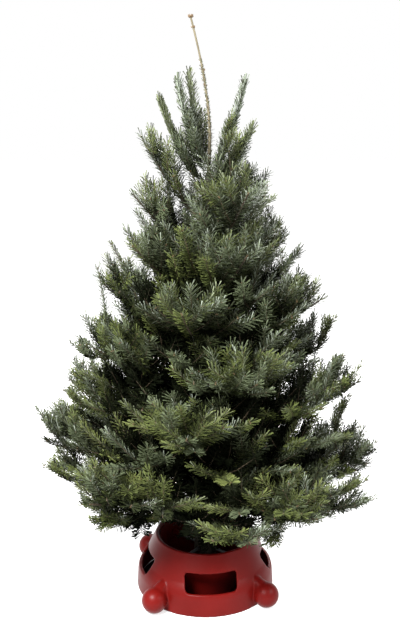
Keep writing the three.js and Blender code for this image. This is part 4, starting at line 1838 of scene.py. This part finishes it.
    def build_buds(self, shoots: list[Shoot]) -> None:
        """Builds the buds at the ends of the shoots and on the leader.

        Args:
            shoots: All shoots of the crown.
        """
        random = np.random.default_rng(self.seed)
        shape = Shape()
        for shoot in shoots:
            if shoot.tone is Tone.SHADE or shoot.order == 0 and shoot.piece.startswith("top_"):
                continue
            ahead = unit(shoot.points[-1] - shoot.points[-2])
            foot = shoot.points[-1] - ahead * self.bud_depth
            self.add_bud(shape, foot, ahead, *self.end_bud)
            if shoot.order < 2:
                across = unit(np.cross(ahead, random.normal(0, 1, 3)))
                for hand in HANDS:
                    out = unit(ahead * self.side_bud_lean + across * hand)
                    self.add_bud(shape, foot, out, *self.side_bud)
        self.add_leader_buds(shape)
        settle(shape.make("buds", [self.bud.material()], smooth=False), Slot.BOUGH_WOOD)

    def add_leader_buds(self, shape: Shape) -> None:
        """Adds the rings of buds on the leader, and the one at its end.

        Args:
            shape: What they are added to.
        """
        for ring in self.bud_rings:
            root = self.trunk.radius_at(ring.z) * self.ring_bud_root
            for k in range(ring.count):
                out, _ = heading(2 * math.pi * k / ring.count + ring.z)
                lean = unit(np.array(self.ring_bud_lean) + out * ring.out)
                foot = self.trunk.point(ring.z) + out * root
                self.add_bud(shape, foot, lean, ring.length, ring.length * self.ring_bud_ratio)
        level, height = self.crown_bud_foot
        foot = np.array([self.trunk.x_at(level), 0.0, height])
        self.add_bud(shape, foot, unit(np.array(self.crown_bud_lean)), *self.crown_bud)


def node_of(mass: str) -> str:
    """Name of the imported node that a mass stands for."""
    return mass.replace("top_", "top_shoot_") if mass.startswith("top_") else f"foliage_{mass}"


def needle_groups() -> dict[str, list[str]]:
    """Sorts the masses into pieces of needles, each under the limit of faces.

    Returns:
        Name of each piece, and the masses whose needles are joined in it.
    """
    groups = {}
    for index, whorl in enumerate(WHORLS):
        masses = [f"{index + 1}_{k + 1}" for k in range(whorl.count)]
        half = (len(masses) + 1) // 2
        groups[f"needles_{index + 1}_a"] = masses[:half]
        groups[f"needles_{index + 1}_b"] = masses[half:]
    groups["needles_top"] = [f"top_{k + 1}" for k in range(len(TOP_SHOOTS))]
    return groups


def only(piece: Piece | None = None) -> None:
    """Deselects everything, for the operators that follow.

    Args:
        piece: The only piece that is then selected, if any.
    """
    bpy.ops.object.select_all(action="DESELECT")
    if piece:
        piece.select_set(True)
        bpy.context.view_layer.objects.active = piece


def modify(piece: Piece, kind: str, **settings: float | str | Piece) -> None:
    """Gives a piece one modifier and applies it.

    Args:
        piece: The piece.
        kind: Kind of modifier.
        settings: Its settings.
    """
    only(piece)
    step = piece.modifiers.new(kind, kind)
    for name, value in settings.items():
        setattr(step, name, value)
    bpy.ops.object.modifier_apply(modifier=step.name)


def combine(piece: Piece, other: Piece, how: str) -> None:
    """Joins another body to a piece by UNION or cuts it out by DIFFERENCE, and drops it."""
    modify(piece, "BOOLEAN", operation=how, solver="EXACT", object=other)
    bpy.data.objects.remove(other, do_unlink=True)


def join(piece: Piece, other: Piece) -> None:
    """Joins another body's mesh to a piece as it is.

    Args:
        piece: The piece.
        other: The body, which is used up.
    """
    only(piece)
    other.select_set(True)
    bpy.ops.object.join()


def block(size: Triple, place: Triple) -> Piece:
    """Adds a block.

    Args:
        size: Its size along each axis, in metres.
        place: Its middle, in metres.

    Returns:
        The block.
    """
    only()
    bpy.ops.mesh.primitive_cube_add(size=1)
    made = bpy.context.active_object
    made.scale = size
    made.location = place
    bpy.ops.object.transform_apply(location=True, scale=True)
    return made


def turn(piece: Piece, azimuth: float) -> None:
    """Turns a piece about the stand's middle by an angle in degrees."""
    piece.rotation_euler = (0, 0, math.radians(azimuth))
    bpy.ops.object.transform_apply(rotation=True)


def quarters(piece: Piece, stem: str) -> list[Piece]:
    """Copies what was modelled at one quarter of the stand to the other three.

    Args:
        piece: The piece at the first quarter.
        stem: Start of the four names.

    Returns:
        The piece and its copies, each with its own mesh.
    """
    made = [piece]
    for quarter in (1, 2, 3):
        mesh = piece.data.copy()
        mesh.transform(Matrix.Rotation(quarter * math.pi / 2, 4, "Z"))
        made.append(linked(stem, mesh))
    for number, each in enumerate(made, 1):
        each.name = f"{stem}_{number}"
    return made


def paint(piece: Piece, material: Material, edge: float) -> None:
    """Gives a piece its material and shades it smooth except at sharp edges.

    Args:
        piece: The piece.
        material: The material.
        edge: Angle from which an edge stays sharp, in degrees.
    """
    only(piece)
    bpy.ops.object.shade_smooth_by_angle(angle=math.radians(edge))
    piece.data.materials.clear()
    piece.data.materials.append(material)


def spun(name: str, profile: list[Range], steps: int) -> Piece:
    """Spins a closed profile round the vertical axis.

    Args:
        name: Name of the piece.
        profile: Closed outline of (radius, height), the last point joined to the first.
        steps: Steps of the spin.

    Returns:
        The closed piece.
    """
    mesh = bpy.data.meshes.new(name)
    points = [(r * METRE, 0, z * METRE) for r, z in profile]
    edges = [(i, (i + 1) % len(points)) for i in range(len(points))]
    mesh.from_pydata(points, edges, [])
    piece = linked(name, mesh)
    only(piece)
    bpy.ops.object.mode_set(mode="EDIT")
    bpy.ops.mesh.select_all(action="SELECT")
    bpy.ops.mesh.spin(steps=steps, angle=2 * math.pi, center=(0, 0, 0), axis=(0, 0, 1))
    bpy.ops.mesh.select_all(action="SELECT")
    bpy.ops.mesh.remove_doubles(threshold=0.00002)
    bpy.ops.mesh.normals_make_consistent(inside=False)
    bpy.ops.object.mode_set(mode="OBJECT")
    return piece


@dataclass(frozen=True)
class Bar:
    """A round bar along a radius of the stand: its radius and how far out it goes."""

    radius: float
    start: float
    end: float


@dataclass
class Stand:
    """The moulded shell with its ball feet and windows, the bowl and the clamp screws.

    Sizes are in millimetres and angles in degrees.
    """

    plastic: PlasticFinish = PlasticFinish()
    steel: SteelFinish = SteelFinish()
    height: float = 180.0
    skirt: float = 226.0
    skirt_top: float = 223.0
    skirt_height: float = 54.0
    shoulder: Range = (2.0, 20.0)
    slope: float = 203.0
    slope_height: float = 98.0
    rim: float = 165.0
    rim_inner: float = 152.0
    rim_foot: Range = (3.0, 6.0)
    rim_depth: float = 2.5
    wall: float = 5.5
    slope_inset: Range = (1.0, 4.0)
    skirt_inset: float = 2.0
    shell_steps: int = 128
    ball: float = 40.0
    ball_steps: int = 48
    ball_rings: int = 32
    bar_sides: int = 32
    ball_distance: float = 250.0
    first_ball: float = -39.7
    hood: Range = (36.0, 16.0)
    hood_top: Range = (200.0, 80.0)
    window_azimuth: float = 5.3
    window_width: float = 163.0
    window_low: float = 71.0
    window_high: float = 127.0
    window_corner: float = 12.0
    window_corner_steps: int = 6
    window_middle: float = 215.0
    window_depth: float = 160.0
    voxel: float = 2.4
    fillet: Range = (9.0, 26.0)
    fillet_band: float = 22.0
    fillet_rounds: int = 16
    edge_rounds: int = 5
    kept_faces: float = 0.4
    bowl: tuple[Range, ...] = (
        (0.01, 0.0),
        (112.0, 0.0),
        (117.0, 2.0),
        (119.5, 7.0),
        (144.5, 139.0),
        (146.5, 150.0),
        (151.2, 161.0),
        (151.4, 166.0),
        (150.4, 168.0),
        (148.4, 168.0),
        (147.2, 165.5),
        (142.4, 150.0),
        (140.8, 139.0),
        (116.5, 14.0),
        (113.0, 9.0),
        (108.0, 8.0),
        (0.01, 8.0),
    )
    bowl_steps: int = 96
    bowl_edge: float = 35.0
    boss: Bar = Bar(11.8, 110, 143.5)
    bore: Bar = Bar(5.4, 30, 156)
    screw_height: float = 128.0
    screw_play: float = 0.4
    screw_end: float = 156.0
    screw_edge: float = 40.0
    rod: float = 4.7
    pad: Range = (7.5, 4.0)
    thread: Range = (5.15, 1.2)
    thread_start: float = 8.0
    thread_pitch: float = 2.6
    thread_rings: int = 22
    wing: Triple = (9.0, 44.0, 14.0)
    wing_edge: float = 3.0

    def build(self) -> None:
        """Builds all parts of the stand."""
        red = self.plastic.material()
        self.build_shell(red)
        self.build_bowl(red)
        self.build_screws()

    def shell_profile(self) -> list[Range]:
        """Draws the shell's wall: skirt, shoulder, slope and rolled rim.

        Returns:
            Its closed outline of (radius, height).
        """
        rim_round = (self.rim - self.rim_inner) / 2
        middle = self.rim_inner + rim_round
        outline = [(self.skirt - self.wall, 0.0), (self.skirt, 0.0)]
        start, end = (self.skirt_top, self.skirt_height), (self.slope, self.slope_height)
        bend = (self.skirt_top - self.shoulder[0], self.skirt_height + self.shoulder[1])
        for u in np.linspace(0, 1, 9):
            near, across, far = (1 - u) ** 2, 2 * u * (1 - u), u**2
            point = (near * s + across * b + far * e for s, b, e in zip(start, bend, end))
            outline.append(tuple(point))
        foot, drop = self.rim_foot
        outline.append((self.rim + foot, self.height - rim_round - drop))
        for angle in np.linspace(0, math.pi, 9):
            high = self.height - rim_round + rim_round * math.sin(angle)
            outline.append((middle + rim_round * math.cos(angle), high))
        outline.append((self.rim_inner, self.height - self.rim_depth * rim_round))
        inset, drop = self.slope_inset
        outline.append((self.slope - self.wall - inset, self.slope_height - drop))
        outline.append((self.skirt_top - self.wall, self.skirt_height - self.skirt_inset))
        return outline

    def build_shell(self, red: Material) -> None:
        """Builds the shell as one moulded skin, soft at every edge and round every ball.

        Args:
            red: Its material.
        """
        shell = spun("stand_moulding", self.shell_profile(), self.shell_steps)
        for foot in quarters(self.ball_foot(), "ball_foot"):
            combine(shell, foot, "UNION")
        for cutter in quarters(self.window_cutter(), "window_cutter"):
            combine(shell, cutter, "DIFFERENCE")
        self.soften(shell)
        shell.data.materials.clear()
        shell.data.materials.append(red)
        settle(shell, Slot.PLASTIC, "stand_shell")

    def ball_foot(self) -> Piece:
        """Makes one ball foot with the hood that runs from it up the slope of the shell.

        Returns:
            The foot.
        """
        inward = self.ball_distance - self.hood_top[0]
        upward = self.hood_top[1] - self.ball
        only()
        bpy.ops.mesh.primitive_uv_sphere_add(
            segments=self.ball_steps,
            ring_count=self.ball_rings,
            radius=self.ball * METRE,
            location=self.place(self.ball_distance, self.ball),
        )
        foot = bpy.context.active_object
        bpy.ops.object.transform_apply(location=True)
        only()
        bpy.ops.mesh.primitive_cone_add(
            vertices=self.ball_steps,
            radius1=self.hood[0] * METRE,
            radius2=self.hood[1] * METRE,
            depth=math.hypot(inward, upward) * METRE,
            rotation=(0, -math.atan2(inward, upward), math.radians(self.first_ball)),
            location=self.place(self.ball_distance - inward / 2, self.ball + upward / 2),
        )
        hood = bpy.context.active_object
        bpy.ops.object.transform_apply(location=True, rotation=True)
        combine(foot, hood, "UNION")
        return foot

    def place(self, distance: float, height: float) -> Triple:
        """Finds a place on the radius of the first ball foot and the first screw.

        Args:
            distance: How far from the stand's middle.
            height: How far above the floor.

        Returns:
            The place, in metres.
        """
        angle = math.radians(self.first_ball)
        across, aside = math.cos(angle) * distance, math.sin(angle) * distance
        return (across * METRE, aside * METRE, height * METRE)

    def window_cutter(self) -> Piece:
        """Makes the rounded bar that cuts the front window.

        Returns:
            The cutter.
        """
        tall, middle = self.window_high - self.window_low, (self.window_low + self.window_high) / 2
        size = (self.window_depth * METRE, self.window_width * METRE, tall * METRE)
        cutter = block(size, (self.window_middle * METRE, 0, middle * METRE))
        bpy.ops.object.mode_set(mode="EDIT")
        bpy.ops.mesh.select_all(action="DESELECT")
        bpy.ops.object.mode_set(mode="OBJECT")
        for edge in cutter.data.edges:
            a, b = (cutter.data.vertices[v].co for v in edge.vertices)
            edge.select = abs(a.x - b.x) > size[0] / 2
        bpy.ops.object.mode_set(mode="EDIT")
        bpy.ops.mesh.select_mode(type="EDGE")
        corner = self.window_corner * METRE
        bpy.ops.mesh.bevel(offset=corner, segments=self.window_corner_steps)
        bpy.ops.object.mode_set(mode="OBJECT")
        turn(cutter, self.window_azimuth)
        return cutter

    def soften(self, shell: Piece) -> None:
        """Evens the shell's skin, then rounds its edges and fills the corner at each ball.

        Args:
            shell: The shell.
        """
        modify(shell, "REMESH", mode="VOXEL", voxel_size=self.voxel * METRE)
        points = np.empty(len(shell.data.vertices) * 3, dtype=np.float32)
        shell.data.vertices.foreach_get("co", points)
        points = points.reshape(-1, 3) / METRE
        angles = np.radians(self.first_ball + 90 * np.arange(4))
        centres = np.stack([np.cos(angles), np.sin(angles), np.zeros(4)], 1) * self.ball_distance
        centres[:, 2] = self.ball
        near = np.min(np.linalg.norm(points[:, None] - centres[None], axis=2), axis=1) - self.ball
        radial = np.hypot(points[:, 0], points[:, 1])
        corner = (near > -self.fillet[0]) & (near < self.fillet[1]) & (radial > self.hood_top[0])
        corner &= np.abs(radial - self.skirt) < self.fillet_band
        group = shell.vertex_groups.new(name="corner")
        group.add([int(i) for i in np.flatnonzero(corner)], 1.0, "REPLACE")
        for rounds, mask in ((self.fillet_rounds, "corner"), (self.edge_rounds, "")):
            modify(shell, "SMOOTH", factor=0.5, iterations=rounds, vertex_group=mask)
        modify(shell, "DECIMATE", ratio=self.kept_faces)
        shell.vertex_groups.clear()
        bpy.ops.object.shade_smooth()

    def build_bowl(self, red: Material) -> None:
        """Builds the water bowl with a boss for each clamp screw.

        Args:
            red: Its material.
        """
        bowl = spun("stand_water_bowl", self.bowl, self.bowl_steps)
        for boss in quarters(self.bar(self.boss), "boss"):
            combine(bowl, boss, "UNION")
        for bore in quarters(self.bar(self.bore), "bore"):
            combine(bowl, bore, "DIFFERENCE")
        paint(bowl, red, self.bowl_edge)
        settle(bowl, Slot.PLASTIC, "stand_bowl")

    def bar(self, bar: Bar) -> Piece:
        """Makes a round bar at the first screw.

        Args:
            bar: Its sizes.

        Returns:
            The bar.
        """
        only()
        bpy.ops.mesh.primitive_cylinder_add(
            vertices=self.bar_sides,
            radius=bar.radius * METRE,
            depth=(bar.end - bar.start) * METRE,
            location=self.place((bar.start + bar.end) / 2, self.screw_height),
            rotation=(0, math.pi / 2, math.radians(self.first_ball)),
        )
        bpy.ops.object.transform_apply(location=True, rotation=True, scale=True)
        return bpy.context.active_object

    def build_screws(self) -> None:
        """Builds the four clamp screws: threaded rod, pressed foot and wing."""
        start = TrunkLine().radius_at(self.screw_height) + self.screw_play
        rod = self.bar(Bar(self.rod, start, self.screw_end))
        radius, length = self.pad
        combine(rod, self.bar(Bar(radius, start, start + length)), "UNION")
        radius, length = self.thread
        for ring in range(self.thread_rings):
            at = start + self.thread_start + ring * self.thread_pitch
            join(rod, self.bar(Bar(radius, at, at + length)))
        join(rod, self.screw_wing())
        paint(rod, self.steel.material(), self.screw_edge)
        for number, screw in enumerate(quarters(rod, "screw"), 1):
            settle(screw, Slot.STEEL, f"clamp_screw_{number}")

    def screw_wing(self) -> Piece:
        """Makes the wing that turns the first screw.

        Returns:
            The wing, with rounded edges.
        """
        place = (self.screw_end * METRE, 0, self.screw_height * METRE)
        wing = block([side * METRE for side in self.wing], place)
        modify(wing, "BEVEL", width=self.wing_edge * METRE, segments=3)
        turn(wing, self.first_ball)
        return wing


@dataclass(frozen=True)
class Lamp:
    """One soft square light: its name, its place and side in metres, and its power in watts."""

    name: str
    place: Vector
    size: float
    power: float


@dataclass
class Studio:
    """White room with soft light, and the camera at the photograph's place.

    The floor is painted dark under the stand, as painted shade where no light comes. Sizes are in
    metres and the tilt in degrees. The lens follows from the photograph's focal length and height,
    in pixels.
    """

    sensor: float = 36.0
    photo_focal: float = 841.0
    photo_height: float = 642.0
    camera_place: Triple = (-0.017, -2.55, 1.5)
    camera_tilt: float = 76.6
    floor_size: float = 60.0
    painted_shade_radius: float = 0.2212
    painted_shade_fade: float = 0.004
    # Floor colour and glow: dark and unlit within the painted shade radius, pale and glowing
    # outside it
    floor_colours: Range = (0.02, 0.5)
    floor_glow: Range = (0.0, 0.62)
    lit_height: float = 0.8
    lamps: tuple[Lamp, ...] = (
        Lamp("key", Vector((-1.5, -2.4, 3.6)), 1.3, 700),
        Lamp("fill", Vector((2.8, -1.4, 2.6)), 1.6, 90),
        Lamp("back", Vector((0.9, 3.0, 3.0)), 1.8, 330),
    )

    def build(self) -> None:
        """Builds the floor, the world, the lights and the camera."""
        self.build_floor()
        self.build_world()
        for lamp in self.lamps:
            self.build_lamp(lamp)
        self.build_camera()

    def build_floor(self) -> None:
        """Builds the pale floor, painted dark under the stand as painted shade."""
        only()
        bpy.ops.mesh.primitive_plane_add(size=self.floor_size)
        floor = bpy.context.active_object
        floor.name = "studio_floor"
        graph = Graph("pale_floor")
        distance = graph.add("VectorMath", {"Vector": graph.place()})
        distance.operation = "LENGTH"
        fade = (self.painted_shade_radius, self.painted_shade_radius + self.painted_shade_fade)
        length = distance.outputs["Value"]
        feeds = {"Roughness": 0.9, "Specular IOR Level": 0.0, "Emission Color": (1, 1, 1, 1)}
        feeds["Base Color"] = graph.spread(length, self.floor_colours, fade)
        feeds["Emission Strength"] = graph.spread(length, self.floor_glow, fade)
        floor.data.materials.append(graph.finish(feeds))

    def build_world(self) -> None:
        """Makes the room evenly white."""
        world = bpy.data.worlds.new("white_room")
        world.use_nodes = True
        sky = world.node_tree.nodes["Background"]
        sky.inputs["Color"].default_value = (1, 1, 1, 1)
        sky.inputs["Strength"].default_value = 1.0
        bpy.context.scene.world = world
        bpy.context.scene.view_settings.view_transform = "Standard"

    def build_lamp(self, lamp: Lamp) -> None:
        """Builds one soft light that faces the tree.

        Args:
            lamp: The light.
        """
        data = bpy.data.lights.new(lamp.name, "AREA")
        data.size = lamp.size
        data.energy = lamp.power
        made = linked(lamp.name, data)
        made.location = lamp.place
        facing = Vector((0, 0, self.lit_height)) - lamp.place
        made.rotation_euler = facing.to_track_quat("-Z", "Y").to_euler()

    def build_camera(self) -> None:
        """Builds the camera."""
        data = bpy.data.cameras.new("camera")
        data.sensor_width = self.sensor
        data.sensor_fit = "AUTO"
        data.lens = self.sensor * self.photo_focal / self.photo_height
        camera = linked("camera", data)
        camera.location = self.camera_place
        camera.rotation_euler = (math.radians(self.camera_tilt), 0, 0)
        bpy.context.scene.camera = camera


def main() -> None:
    """Builds the tree's looks in order."""
    logging.basicConfig(level=logging.INFO, format="%(message)s")
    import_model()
    trunk = TrunkLine()
    crown = Crown(trunk)
    crown.grow()
    metres = sum(shoot.length() for shoot in crown.shoots) * METRE
    LOG.info("%d shoots, %.1f m", len(crown.shoots), metres)
    Needles().build(crown.shoots, needle_groups())
    wood = Wood(trunk)
    wood.build_trunk()
    wood.build_boughs(crown.boughs)
    wood.build_twigs(crown.shoots)
    wood.build_buds(crown.shoots)
    Stand().build()
    Studio().build()


if __name__ == "__main__":
    main()
